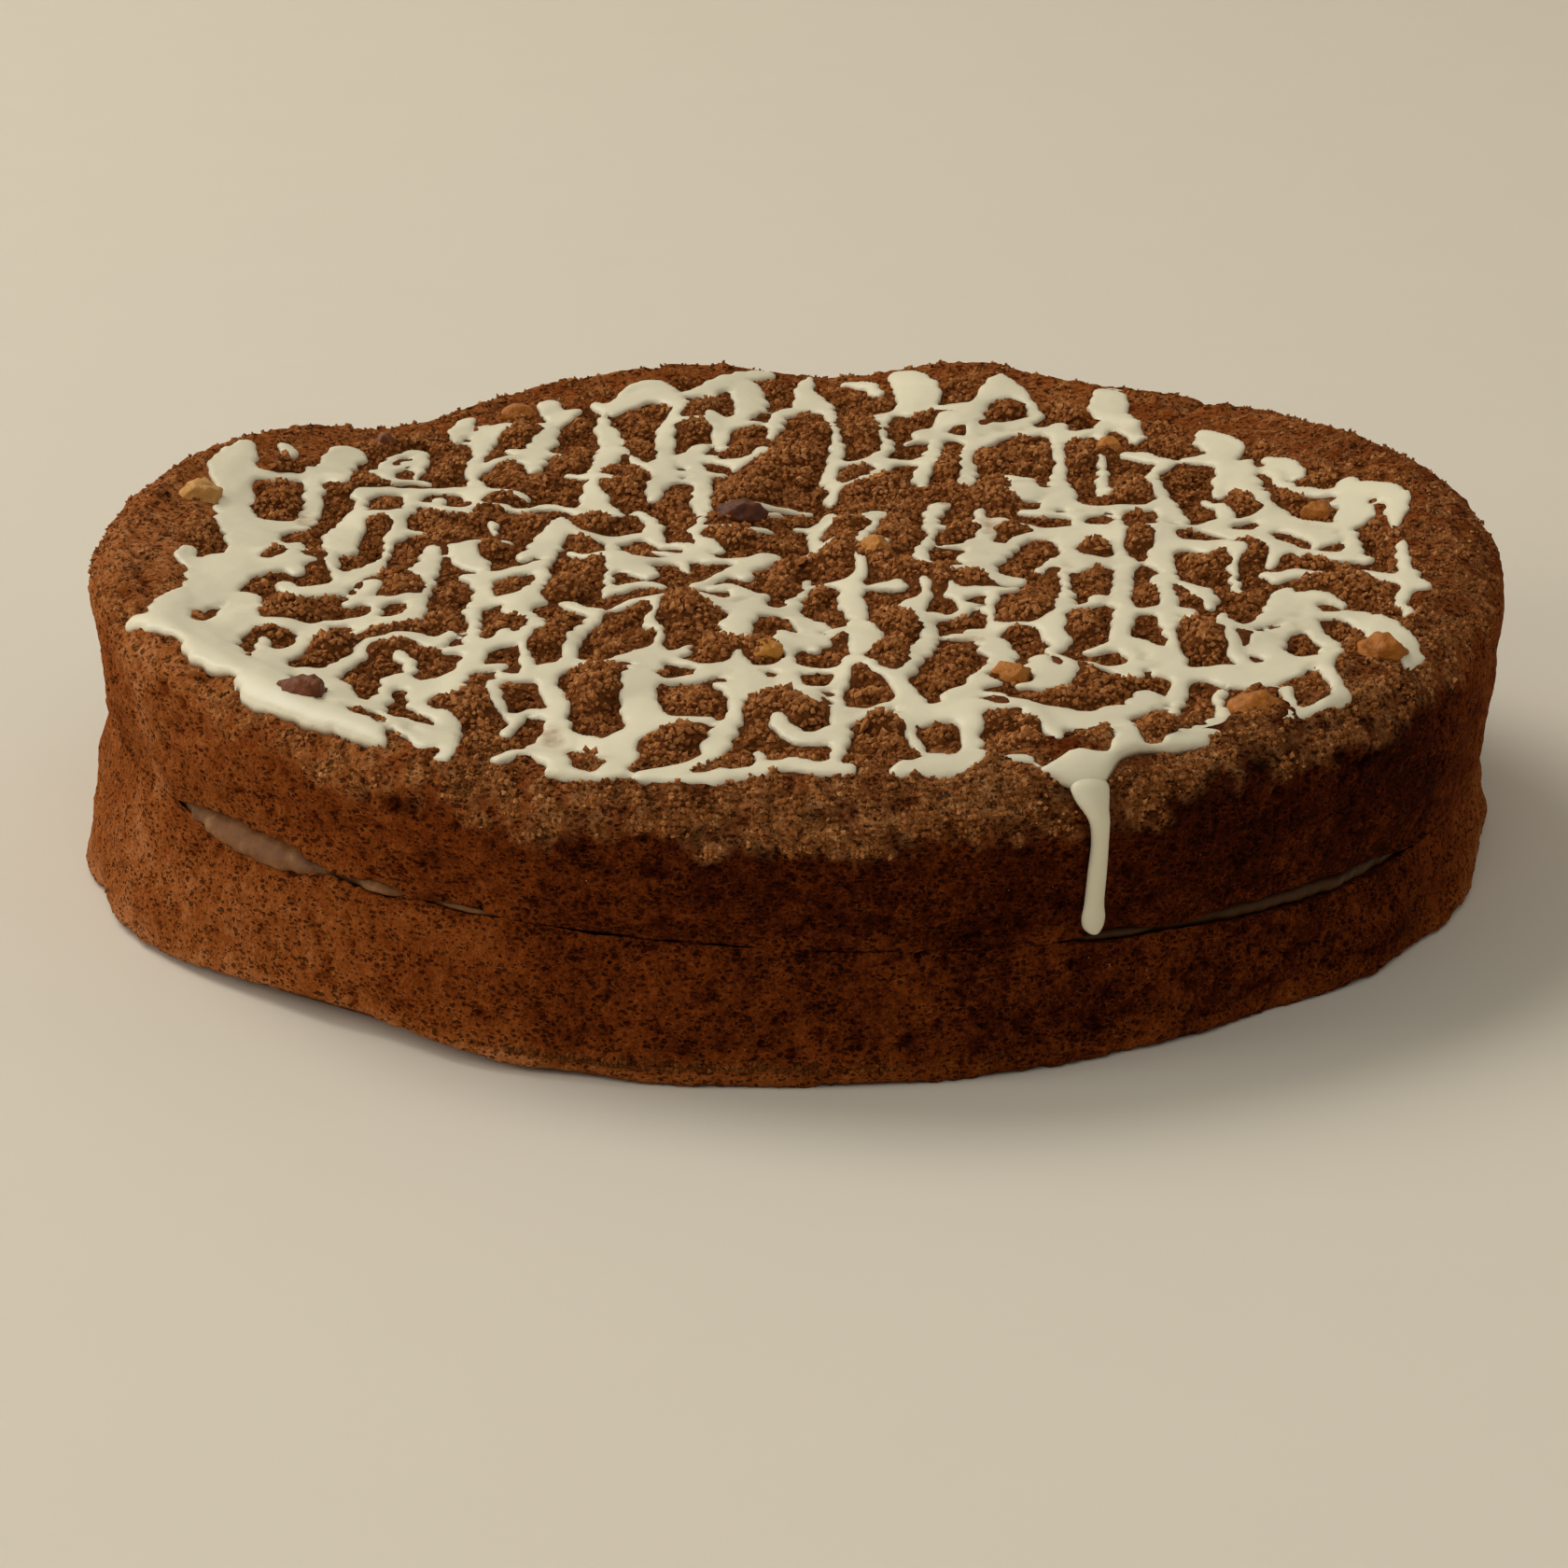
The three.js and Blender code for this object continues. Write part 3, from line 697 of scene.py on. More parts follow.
def lower_rows():
    """Rows of the lower layer from its hidden top down the side to the flat underside."""
    angle = ring_angles()
    waist, foot = shifted(WAIST, angle), base_radius(angle)
    raised = LIFT["height"] * at(LIFT, angle)
    rows, start = lip_rows(angle, -1)
    for share in np.linspace(1, 0, 32):
        radius = mix(foot, waist, share**1.4) + side_relief(angle, 30 * share) * (1 - 0.4 * share)
        rows.append((radius, mix(BASE["fillet"] + raised, start, share)))
    for slope in np.radians([30, 60, 90]):
        rows.append((
            foot + side_relief(angle, 0) * np.cos(slope) - BASE["fillet"] * (1 - np.cos(slope)),
            BASE["fillet"] * (1 - 0.9 * np.sin(slope)) + raised,
        ))
    rows.append((BASE["contact"] - LIFT["inset"] * at(LIFT, angle), np.zeros_like(angle)))
    return rows


CRUST = {"coarse": 0.24, "medium": 0.12, "fine": 0.16, "crumbs": 1.4, "sunk": 0.95}


def sponge_push(points, amount, crumbs, seed):
    """How far the baked crust stands out from its plain form, and its waves of medium size."""
    coarse, medium = waves(points, 11, seed), waves(points, 4.5, seed + 1, 20)
    fine = waves(points, 1.9, seed + 2, 24)
    push = amount * (CRUST["coarse"] * coarse + CRUST["medium"] * medium + CRUST["fine"] * fine)
    lumps = np.abs(waves(points, 5.2, seed + 5, 24)) + 0.5 * np.abs(waves(points, 2.6, seed + 6, 24))
    return push + crumbs * (CRUST["crumbs"] * lumps - CRUST["sunk"]), medium


def sponge_piece(name, rows, material, roughen, pits, seed, net):
    """A sponge layer from its rows, lowest first, roughened along its normals."""
    grid = ring_grid(rows)
    normal = grid_normals(grid)
    flat = grid.reshape(-1, 3)
    angle = np.broadcast_to(ring_angles(), grid.shape[:2])
    height = grid[..., 2]
    shape = grid.shape[:2]
    amount, crumbs = roughen(angle, height, flat, net)
    push, medium = (part.reshape(shape) for part in sponge_push(flat, amount.ravel(), crumbs.ravel(), seed))
    pit = np.zeros(shape)
    for count, sizes, rows_range in pits:
        stamp_pits(grid, pit, count, sizes, seed + 3 + count, rows_range)
    hidden = np.zeros(shape[0], bool)
    hidden[:2] = hidden[-2:] = True
    iced = net.cover(flat[:, 0], flat[:, 1]).reshape(shape) * smooth_step(44, 47, height)
    push = push - pit * np.minimum(1, amount + 0.4) - ICING["bedded"] * iced
    push = np.where(hidden[:, None], 0, push)
    grid = grid + normal * push[..., None]
    grid[..., 2] = np.maximum(grid[..., 2], 0)
    # The tone is darker in the pits: painted shade in the air holes.
    tone = bake_and_shade_tone(angle, height) + 0.04 * medium - 0.25 * np.minimum(1, pit)
    piece = ring_piece(name, grid, material, {"tone": tone, "crumbs": crumbs})
    return piece, grid, normal, crumbs


def crumb_band(angle, height, flat):
    """How thickly crumbs cover the shoulder: 1 on the rim, ragged at its lower edge."""
    front = np.clip(summed(CRUMBY, angle), 0, 1)
    wander = CRUMB_BAND["wander"] * waves(flat, 30, 71).reshape(height.shape)
    lowest = around(CREST_HEIGHTS, angle) - CRUMB_BAND["depth"] - CRUMB_BAND["more_in_front"] * front - wander
    ragged = CRUMB_BAND["ragged"] * waves(flat, 9, 72, 20) + CRUMB_BAND["grainy"] * waves(flat, 3.5, 73, 20)
    cover = smooth_step(lowest - 2, lowest + 3, height + ragged.reshape(height.shape))
    patchy = smooth_step(-0.9, 0.5, waves(flat, 6.5, 74, 20)).reshape(height.shape)
    return cover * mix(0.36, 1, front) * mix(0.25, 1, patchy)


def roughen_upper(angle, height, flat, net):
    """How rough the upper layer is, and how crumby: smooth under the icing."""
    iced = net.cover(flat[:, 0], flat[:, 1]).reshape(height.shape)
    iced = iced * smooth_step(44, 47, height)
    crumbs = crumb_band(angle, height, flat) * (1 - iced) * (1 - at(DRIP, angle))
    return (0.65 + 0.3 * crumbs) * (1 - 0.7 * iced), crumbs


def roughen_lower(angle, height, flat, net):
    foot = smooth_step(4.5, 0.5, height)
    return 0.65 + 0.5 * foot, 0 * height


# ------------------------------------------------------------------ crumble bed


def clump_places():
    """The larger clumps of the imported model, on a sunflower spiral."""
    k = np.arange(CLUMPS["count"])
    angle = k * GOLDEN_ANGLE % 360
    reach = around(CRUMBLE_RADII, angle) - CLUMPS["edge"]
    radius = reach * np.sqrt((k + 0.5) / CLUMPS["count"])
    size = mix(CLUMPS["smallest"], CLUMPS["largest"], fraction(k, 1))
    return radius * np.cos(np.radians(angle)), radius * np.sin(np.radians(angle)), size


def raise_lumps(field, bed, xs, ys, sizes, squash, sink, seed):
    """Stamps uneven domes into a height field."""
    rng = np.random.default_rng(seed)
    for x, y, size in zip(xs, ys, sizes):
        window = field.window(x, y, size * 1.25)
        dx, dy = field.x[window] - x, field.y[window] - y
        turn, stretch = rng.uniform(0, math.pi), rng.uniform(0.8, 1.2)
        u = (dx * math.cos(turn) + dy * math.sin(turn)) * stretch
        v = (dy * math.cos(turn) - dx * math.sin(turn)) / stretch
        lobes = 1 + 0.12 * np.sin(3 * np.arctan2(v, u) + rng.uniform(0, 6)) \
            + 0.08 * np.sin(5 * np.arctan2(v, u) + rng.uniform(0, 6))
        away = np.hypot(u, v) / (size * lobes)
        dome = size * squash * np.sqrt(np.clip(1 - away**2, 0, 1)) - sink * size / 8
        level = field.read(field.top, np.array([x]), np.array([y]))[0]
        high = np.where(away < 1, level + dome, -1e3)
        bed[window] = np.maximum(bed[window], high)


# Large round lumps of crumble: x, y and radius.
BALLS = [
    (-31, -82, 5.4), (18, -63, 4.4), (17, -98, 4.8), (-75, -58, 5.2), (-57, 31, 4.4), (-95, 26, 5.0),
    (57, 1, 3.8), (45, 91, 3.0), (-97, 48, 4.0), (9, -52, 3.6), (-74, 62, 3.6), (-16, -97, 3.4),
]


def crumble_mounds(field):
    """The crumble's larger forms before the icing: lumps of several sizes over a low bed."""
    inside = around(CRUMBLE_RADII, field.angle)
    field.top = outer_height(field.x, field.y)
    ragged = inside + 2.0 * field.noise(13, 12)
    within = smooth_step(1, -3, field.radius - ragged)
    mounds = field.top - mix(1.0, CRUMBLE_BED + 0.4, within) + 0.5 * field.noise(12, 14) * within
    xs, ys, sizes = clump_places()
    raise_lumps(field, mounds, xs, ys, sizes, CLUMPS["squash"] * 0.72, CLUMPS["sink"] * 1.1, 13)
    lumps = 2.3 * field.grains(7.0, 31) + 1.5 * field.grains(3.6, 32) - 2.2
    mounds += mix(0.25, 1, within) * lumps
    return mounds, within


# How the bare crumble lies beside the icing: slopes of its lowest and highest level, its swell and its
# steepest rise; and the bed's tone, kept low so that the bed between the grains is painted dark as shade.
BED = {"below": 0.5, "fall": 0.9, "rise": 0.36, "swell": 1.5, "steepest": 0.8, "tone": 0.18}
BALL_FORM = {"squash": 0.75, "sink": 2.4}


def crumble_bed(field, mounds, within, reach, level):
    """The crumble's surface: held up under the icing, kept low beside it, and granular."""
    bare = np.clip(-reach, 0, 9)
    lowest = level - BED["below"] - BED["fall"] * np.clip(bare - 0.25, 0, 4)
    highest = level + BED["rise"] * np.clip(bare, 0, 5)
    bed = np.clip(mounds + BED["swell"] * smooth_step(0.4, 3.2, bare), lowest, highest)
    raise_lumps(field, bed, *np.array(BALLS).T, BALL_FORM["squash"], BALL_FORM["sink"], 24)
    bed = np.minimum(bed, level + 0.2 + BED["steepest"] * bare)
    rough = mix(0.35, 1, within) * smooth_step(0.5, -0.6, reach)
    bed += rough * (0.9 * field.grains(2.6, 34) - 0.7) - 0.45 * smooth_step(0, 0.8, reach)
    return bed


def field_piece(name, plan, heights, keep, material, attributes, depth, floor=None, touched=None):
    """A closed mesh from a height field: the kept cells, a skirt, and an underside or a floor.

    Where touched is given, only cells with a touched corner are kept.
    """
    rows, columns = heights.shape
    number = np.arange(rows * columns).reshape(rows, columns)
    cells = keep[:-1, :-1] & keep[1:, :-1] & keep[:-1, 1:] & keep[1:, 1:]
    if touched is not None:
        cells &= touched[:-1, :-1] | touched[1:, :-1] | touched[:-1, 1:] | touched[1:, 1:]
    quads = np.stack([number[:-1, :-1], number[:-1, 1:], number[1:, 1:], number[1:, :-1]], -1)[cells]
    used, packed = np.unique(quads, return_inverse=True)
    quads = packed.reshape(-1, 4)
    top = np.stack([plan[0].ravel(), plan[1].ravel(), heights.ravel()], 1)[used]
    count = len(top)
    edges = np.concatenate([quads[:, [0, 1]], quads[:, [1, 2]], quads[:, [2, 3]], quads[:, [3, 0]]])
    key = edges[:, 0] * count + edges[:, 1]
    back = edges[:, 1] * count + edges[:, 0]
    rim = edges[~np.isin(key, back)]
    values = {k: v.ravel()[used] for k, v in attributes.items()}
    if floor is None:
        under = top - [0, 0, depth]
        skirt = np.stack([rim[:, 1], rim[:, 0], rim[:, 0] + count, rim[:, 1] + count], 1)
        faces = np.concatenate([quads, quads[:, ::-1] + count, skirt])
        values = {k: np.tile(v, 2) for k, v in values.items()}
        return make_piece(name, np.concatenate([top, under]), faces, material, values)
    on_rim, place = np.unique(rim, return_inverse=True)
    place = place.reshape(-1, 2) + count
    foot = top[on_rim]
    foot[:, 2] = floor
    wall = np.stack([rim[:, 1], rim[:, 0], place[:, 0], place[:, 1]], 1)
    middle = count + len(on_rim)
    fan = np.stack([place[:, 1], place[:, 0], np.full(len(rim), middle)], 1)
    points = np.concatenate([top, foot, [[0, 0, floor]]])
    values = {k: np.concatenate([v, v[on_rim], [0]]) for k, v in values.items()}
    return make_piece(name, points, [np.concatenate([quads, wall]), fan], material, values)


# ------------------------------------------------------------------ icing

def laid(text):
    """Streams as given: points of x, y and the stream's width there, seen from above."""
    return [[tuple(map(float, point.split())) for point in stream.split(",")] for stream in text.split(";")]


# The poured streams, from the left edge to the back and the right, and then along the front.
STREAMS = laid("""
-103 54 4, -104 47 8, -105 40 8, -102 30 7, -102 22 7, -100 14 9, -97 6 11, -96 -2 9, -97 -10 7,
  -98 -16 12, -100 -22 11, -101 -30 9, -104 -37 8, -106 -43 7, -104 -50 7, -100 -55 6;
-90 49 3, -89 40 3.5, -88 30 3.5, -88 20 4, -90 14 5, -96 12 8;
-84 62 7, -86 55 7, -85 47 6, -84 42 4;
-96 59 3, -95 55 4;
-104 42 5, -98 41 4, -93 44 3;
-106 -10 3, -107 -14 4, -104 -17 5, -99 -16 6;
-112 -49 2, -108 -50 5, -104 -54 6, -101 -57 4;
-94 -31 5, -94 -38 7, -95 -45 8, -97 -52 9, -97 -60 10, -95 -67 9, -92 -73 6, -90 -76 3;
-95 -45 6, -89 -45 4, -83 -46 4, -79 -50 3;
-88 2 2, -88 -6 3, -87 -14 3, -87 -18 2;
-92 -18 2, -90 -12 3;
-88 -24 3, -86 -28 4, -82 -27 5, -78 -24 3.5, -76 -18 4;
-80 38 3, -79 30 3, -79 22 4, -80 14 6, -81 7 7, -80 0 5, -81 -7 2.5, -80 -14 2, -79 -21 2.5, -80 -27 4;
-79 20 4, -74 21 3, -70 24 3, -70 31 3, -70 40 3.5;
-71 22 3, -71 14 3, -72 6 2, -72 -2 1.8, -73 -8 3, -75 -14 5, -77 -19 3;
-72 9 2, -69 12 2.5, -66 12 2;
-72 -22 3, -74 -28 3, -76 -34 2.5;
-71 -30 1.5, -71 -38 1.5, -73 -46 2;
-64 2 3, -64 -4 4, -64 -10 4, -63 -16 2, -63 -24 1.6, -64 -31 3, -64 -38 4, -66 -44 5, -70 -48 4,
  -76 -51 3, -80 -48 2.5;
-75 49 2.5, -77 58 2.5, -75 65 2.5, -71 69 3, -70 62 2.5, -70 53 2;
-63 91 3, -64 85 4, -65 77 2;
-55 88 3, -58 84 6, -59 76 5, -59 67 3.5, -60 58 3, -59 50 2.5, -58 42 6, -58 34 2.5;
-56 87 3, -52 88 2.5, -48 89 3, -44 92 4, -42 96 2.5;
-47 98 5, -46 95 5;
-46 88 3, -46 82 4.5, -48 74 5, -48 66 4.5, -48 59 4, -48 55 2;
-50 70 2, -53 64 3, -57 58 2.5;
-79 36 2, -76 39 3, -71 42 4, -65 43 4, -60 44 4, -56 42 4, -52 40 3, -48 36 2;
-65 37 2.5, -64 28 1.6;
-54 21 1.6, -53 13 1.6;
-60 3 2, -58 0 5, -56 -5 6, -54 -9 3;
-58 2 2.5, -54 7 2.5, -50 7 2;
-49 30 2, -44 32 2.5, -40 30 2, -37 27 2;
-36 92 2, -35 84 4, -34 76 4, -34 67 5, -35 58 4, -36 48 2.5, -36 40 3.5, -35 33 6, -33 29 4, -30 26 2;
-35 86 3, -33 80 3, -31 77 2;
-31 69 2, -28 63 2, -25 58 2;
-41 25 2.5, -42 16 4, -43 9 6, -44 3 5, -47 -2 3;
-41 21 2, -38 14 3, -34 12 3.5, -31 12 4, -28 13 3.5, -25 15 3, -24 21 3, -27 27 2;
-24 17 3, -23 11 3, -22 8 1.5;
-31 12 3, -31 4 3, -30 -2 4, -28 -8 6, -25 -12 6, -24 -16 3;
-31 -4 2, -31 -12 1.8, -31 -22 1.6, -31 -29 1.4;
-38 1 2, -35 -2 2.5, -31 -1 2.5;
-42 1 2, -43 -6 2.5, -46 -9 4, -50 -12 4, -54 -14 4, -57 -13 2;
-43 -8 2, -43 -17 2.5, -44 -25 3.5, -46 -31 6, -46 -37 5, -43 -44 4, -42 -51 3.5;
-54 -15 4, -53 -22 4, -53 -30 4, -54 -38 3.5, -53 -47 2.5, -53 -55 2.5, -52 -62 4, -53 -69 4, -55 -76 3.5,
  -55 -82 1.5;
-44 -52 1.5, -44 -60 1.6, -43 -66 2.5, -43 -71 1.5;
-47 -52 1.5, -49 -58 2, -52 -61 2.5;
-47 -72 2, -44 -74 3, -41 -72 3, -38 -69 4, -34 -68 4, -30 -69 3.5, -28 -66 3, -24 -63 5, -21 -60 4;
-47 -74 2, -48 -79 3, -47 -84 2.6, -47 -87 1.5;
-39 -71 3, -39 -78 3, -37 -85 4, -37 -93 4, -37 -100 6, -38 -106 6, -36 -112 4, -34 -117 3;
-34 -98 2, -31 -103 4, -29 -108 4, -27 -112 3;
-39 -31 2, -36 -35 3, -33 -38 3, -33 -44 3, -35 -50 3, -36 -57 3, -36 -66 3;
-29 -37 2, -25 -34 3.5, -21 -32 3, -18 -29 2.5;
-22 -36 2, -23 -45 2.5, -21 -49 2, -22 -58 2;
-29 -26 2, -25 -22 3, -21 -24 2;
-22 -60 5, -23 -68 5, -24 -76 6, -24 -84 6, -23 -92 7, -22 -98 7, -26 -104 6, -25 -110 3.5, -27 -116 3;
-22 -97 6, -17 -97 5, -13 -96 3;
-22 -62 3, -18 -61 3, -16 -57 2;
-19 -77 3, -15 -74 4, -11 -69 3.5, -9 -66 2;
-37 98 3, -34 96 5, -30 100 7, -27 103 8, -24 101 7, -21 97 4;
-20 96 3, -21 90 3, -23 83 4, -23 75 4, -23 67 3.5, -23 58 5, -22 50 5, -24 42 4, -24 34 3;
-21 86 2.5, -16 86 2.5, -10 84 4, -5 85 2;
-18 102 3, -14 106 4, -9 112 4, -3 116 4.5;
-7 107 7, -6 99 7, -7 92 5, -9 86 3;
-14 104 2, -14 98 2.5;
-14 90 3, -12 84 4, -12 76 3.5, -11 71 1.5;
-16 73 3, -18 65 4.5, -16 56 3, -18 48 1.5;
-15 55 2.5, -15 47 3, -15 38 4, -15 29 3.5, -14 22 2.5, -11 18 2, -7 16 2, -4 19 1.5;
-15 20 2, -16 11 1.8, -14 6 3, -11 2 2;
-20 8 2, -17 3 2, -18 -6 2, -16 -15 2;
-15 2 1.5, -13 -3 1.5;
-24 4 2, -20 2 2;
-3 68 3, -5 64 3, -9 59 1.6;
-2 51 3, -5 48 3;
-2 0 3, -5 -6 5, -8 -11 5, -6 -16 3;
-18 -29 2, -14 -31 4, -11 -35 4, -9 -38 3, -6 -39 3;
-12 -24 3, -9 -23 4, -7 -27 4, -9 -31 2;
-3 -26 2, -5 -33 3, -6 -39 4, -8 -45 6, -8 -50 5, -8 -56 2;
-7 -62 1.5, -7 -68 4, -6 -75 7, -6 -82 7, -8 -88 3, -8 -96 3, -10 -102 5, -11 -107 5, -13 -113 3.5,
  -18 -116 4, -23 -117 3;
-58 -88 2, -55 -92 4, -54 -99 4, -54 -106 2.5;
-62 -93 2, -58 -97 3, -57 -103 2;
-66 -90 2, -63 -96 1.5, -58 -104 1.5;
-44 -89 2, -41 -88 2, -39 -89 1.5;
-44 -90 2, -45 -97 2;
-80 -70 4, -77 -75 5, -74 -80 6, -72 -86 6, -68 -87 5, -66 -82 3, -66 -76 2, -64 -72 2;
-71 -56 2.5, -72 -61 3.5, -75 -68 4, -77 -74 4;
-70 -56 2.5, -66 -54 3.5, -62 -54 4, -59 -57 4, -57 -51 1.5;
-65 -61 2.5, -63 -66 2.5, -62 -69 1.5;
-66 -73 2.5, -61 -76 4, -57 -74 3;
-60 -78 4, -60 -85 3, -58 -89 2;
-82 -51 3, -83 -58 4, -86 -64 5, -86 -72 7, -86 -79 9, -83 -85 9, -78 -91 6, -73 -94 6.5, -68 -99 6,
  -65 -104 3;
-89 -52 2.5, -88 -59 3.5, -87 -65 4;
-56 -108 1.5, -51 -112 2.5, -45 -115 3, -38 -117 4, -32 -118 4, -28 -115 3.5;
-46 -110 2.5, -42 -107 3, -38 -103 3;
-20 -118 2.5, -14 -119 3, -8 -118 3, -3 -117 3.5, 1 -115 4, 5 -117 3.5, 10 -118 2;
-4 -110 1.6, -4 -114 2;
6 117 2, 5 110 4, 6 103 7, 4 98 4, 0 92 4, -1 84 3.5, -2 76 2;
8 102 4, 10 94 3, 10 85 2.2, 11 76 2, 11 68 3, 10 60 3, 9 52 3, 10 44 3.5, 9 38 1.5;
13 112 2, 18 108 3, 20 102 2;
24 111 4, 27 105 8, 28 98 9, 27 92 8;
15 87 2, 20 90 2, 26 90 3, 31 90 3, 36 88 3;
21 88 1.8, 20 79 1.8, 21 70 2, 18 62 3, 13 60 2.5;
18 61 3, 25 60 2.5, 29 62 3;
20 58 3, 18 52 3, 13 46 2;
33 85 3, 30 78 3, 25 72 1.6;
31 76 2, 30 68 3.5, 29 60 4, 27 52 3.5, 27 44 2.5;
38 84 5, 35 82 5;
39 86 2, 38 78 2, 39 72 3, 43 76 3, 48 77 2.5, 54 77 3, 57 73 4, 62 76 2.5;
45 104 3, 44 98 7, 41 93 4, 39 88 4.5;
47 99 4, 50 91 2.5, 51 85 3, 46 82 2.5;
37 70 3, 36 61 3, 36 52 3, 35 44 3;
55 80 3, 55 74 4, 54 65 3, 54 57 2.5, 53 48 3, 53 41 4, 53 33 6, 51 28 5;
67 97 6, 66 90 8, 66 83 7, 69 76 5, 70 68 3;
64 79 3, 63 71 2, 62 62 1.8, 62 52 2, 61 43 3, 61 34 3;
66 60 3, 70 57 3.5, 74 52 3, 71 46 3, 71 38 3, 72 30 3, 73 21 3.5, 74 14 3;
82 67 2, 84 61 7, 86 55 7, 84 49 4.5, 86 44 6, 83 39 3, 82 31 1.6;
78 52 2.5, 84 52 3;
89 48 2, 88 42 4, 87 35 7, 88 30 5, 90 22 2.5, 90 14 3.5, 88 5 3, 88 -2 4, 89 -9 4, 87 -16 2.5;
93 48 2, 96 42 4, 98 35 3;
93 43 3, 94 34 2, 97 27 3.5, 102 24 3;
43 50 1.6, 46 47 4, 46 41 5, 47 34 4, 46 30 2;
9 29 3, 8 22 4, 6 14 3, 6 6 2.5, 6 -2 1.6;
21 22 2, 18 24 3.5, 17 16 2, 15 8 1.8, 15 2 1.5;
18 3 3, 18 -2 3;
30 32 4, 28 25 3, 28 16 2.2, 27 7 2, 26 0 2.5, 25 -7 2.5, 27 -15 2;
37 27 2, 37 19 2.5, 38 12 3, 36 7 3, 33 2 2.5, 30 0 1.5;
37 7 3, 35 -3 4, 34 -9 5, 35 -15 4, 31 -18 3;
39 4 2, 38 -8 2.5, 37 -16 3, 39 -22 5, 42 -23 4;
46 22 1.5, 49 24 2, 53 27 3.5, 56 25 3, 61 24 3, 64 24 4, 68 25 3, 71 29 2;
54 25 2, 55 17 1.6, 55 12 3;
58 12 4, 53 12 4, 48 10 4, 44 8 3, 42 3 2.5, 40 -4 2.2, 39 -9 2;
58 8 6, 53 7 6, 52 1 3, 53 -4 6, 58 -7 5;
54 -8 6, 54 -12 4, 53 -16 2;
49 -6 1.8, 46 -15 1.5;
50 -8 2, 50 -18 1.8, 50 -28 2, 49 -36 3, 48 -44 3, 46 -50 5, 47 -57 4, 45 -61 2;
63 23 2, 62 15 2, 62 7 2.5, 61 0 2.5, 62 -7 4, 61 -14 3.5, 60 -24 4, 59 -33 4, 59 -42 4, 58 -50 4,
  57 -57 3;
71 23 2, 70 14 2, 70 6 4, 71 1 5, 75 0 4, 77 -4 2.5;
69 -1 4, 68 -7 5, 69 -14 3, 67 -21 4.5, 67 -30 3, 67 -40 4, 66 -50 3, 66 -59 2, 65 -66 4.5;
69 -21 3, 72 -28 4, 74 -35 4.5, 74 -40 2;
79 28 2, 82 22 3, 82 14 3, 80 9 5, 84 5 5, 84 1 3;
91 19 2, 93 13 4, 93 8 4, 96 3 6, 98 -3 5, 97 -7 2;
97 13 1.6, 98 18 2, 101 17 2, 103 9 2;
105 27 2, 106 23 5, 105 15 6, 105 8 7, 103 2 3, 103 -6 2.5, 102 -13 4;
107 22 5, 111 18 5, 113 11 5, 112 4 4, 111 -3 1.6;
89 -4 3, 93 -10 4, 98 -14 4, 104 -18 3;
80 -1 2, 82 -7 4, 81 -12 2, 80 -20 1.5, 80 -30 1.5;
86 -21 2.5, 88 -23 5, 91 -21 3, 95 -24 2.5;
111 -11 2, 110 -19 3, 110 -28 3, 112 -35 2.5;
98 -27 3, 103 -25 2.5, 106 -28 3, 109 -34 2.5, 107 -41 2.5, 108 -46 2;
6 -18 1.5, 9 -17 2.5, 12 -20 4, 12 -28 4.5, 13 -36 4, 13 -43 4, 14 -50 6, 14 -57 6, 13 -64 3, 11 -70 3,
  9 -77 2;
12 -20 3, 14 -15 3, 14 -8 2, 13 -1 1.6;
17 -22 3, 20 -22 4.5;
25 -21 2, 25 -28 2.5, 22 -34 6, 24 -38 4, 25 -44 3, 25 -52 3, 24 -60 3.5, 23 -68 2.5;
26 -38 2, 29 -40 2, 32 -36 3, 31 -30 2, 30 -24 1.6;
34 -27 2, 37 -28 2, 36 -36 1.6, 36 -46 1.6, 35 -53 3, 36 -59 6, 37 -65 5, 35 -71 2.5, 32 -77 2, 31 -83 4,
  28 -88 5;
4 -11 1.6, 4 -20 1.6, 2 -28 3, 2 -36 4, 4 -45 3.5, 5 -53 3, 5 -60 1.6;
0 -49 3, 1 -55 5.5, 0 -62 4, 1 -70 3.5, 1 -78 4, 4 -84 4, 5 -90 2;
-1 -97 3, 1 -103 4, 5 -105 4.5, 8 -101 3;
3 -83 3, 7 -81 2, 10 -76 2.5, 9 -84 2, 9 -90 2.2, 9 -98 3, 9 -106 2.6, 8 -113 2, 7 -117 2;
7 -57 1.6, 8 -51 1.6, 10 -47 2, 12 -48 2;
12 -68 2, 15 -74 2.5, 18 -78 3, 21 -75 2.5, 22 -69 2.2, 22 -62 2.5, 24 -57 3.5;
19 -79 3, 20 -85 4, 21 -91 5, 25 -94 7, 29 -93 7, 30 -99 4, 30 -106 3, 29 -112 5.5, 24 -115.5 6.5,
  18.5 -117.3 4;
34 -82 1.5, 35 -75 1.5, 36 -71 1.8, 38 -75 1.5, 39 -81 1.6;
20 -98 1.6, 21 -106 1.6, 22 -112 3;
11 -97 1.8, 14 -94 2, 16 -90 2, 20 -91 2;
31 -91 2.5, 35 -94 3, 38 -93 2;
43 -66 3, 43 -73 5, 42 -80 4, 40 -82 1.5;
46 -63 2, 48 -70 2.5, 47 -75 4, 43 -80 5;
55 -34 2, 54 -38 3, 51 -42 2;
51 -61 2.5, 55 -60 3, 58 -58 3.5, 61 -59 3.5, 64 -65 4, 66 -68 4, 64 -71 2.5;
61 -43 2, 65 -43 4, 69 -43 4, 71 -46 2;
58 -60 2.5, 59 -67 2.5, 58 -73 3;
76 -44 2, 76 -50 3, 76 -57 2.5, 76 -64 3, 78 -69 2;
88 -31 4, 87 -38 6, 84 -45 4, 80 -51 2;
92 -36 3, 91 -44 3, 91 -52 3.5, 93 -60 4, 91 -67 3, 91 -75 2.5, 92 -82 4, 88 -88 6, 83 -93 6, 79 -98 4;
87 -35 3, 92 -34 3, 97 -38 2.5;
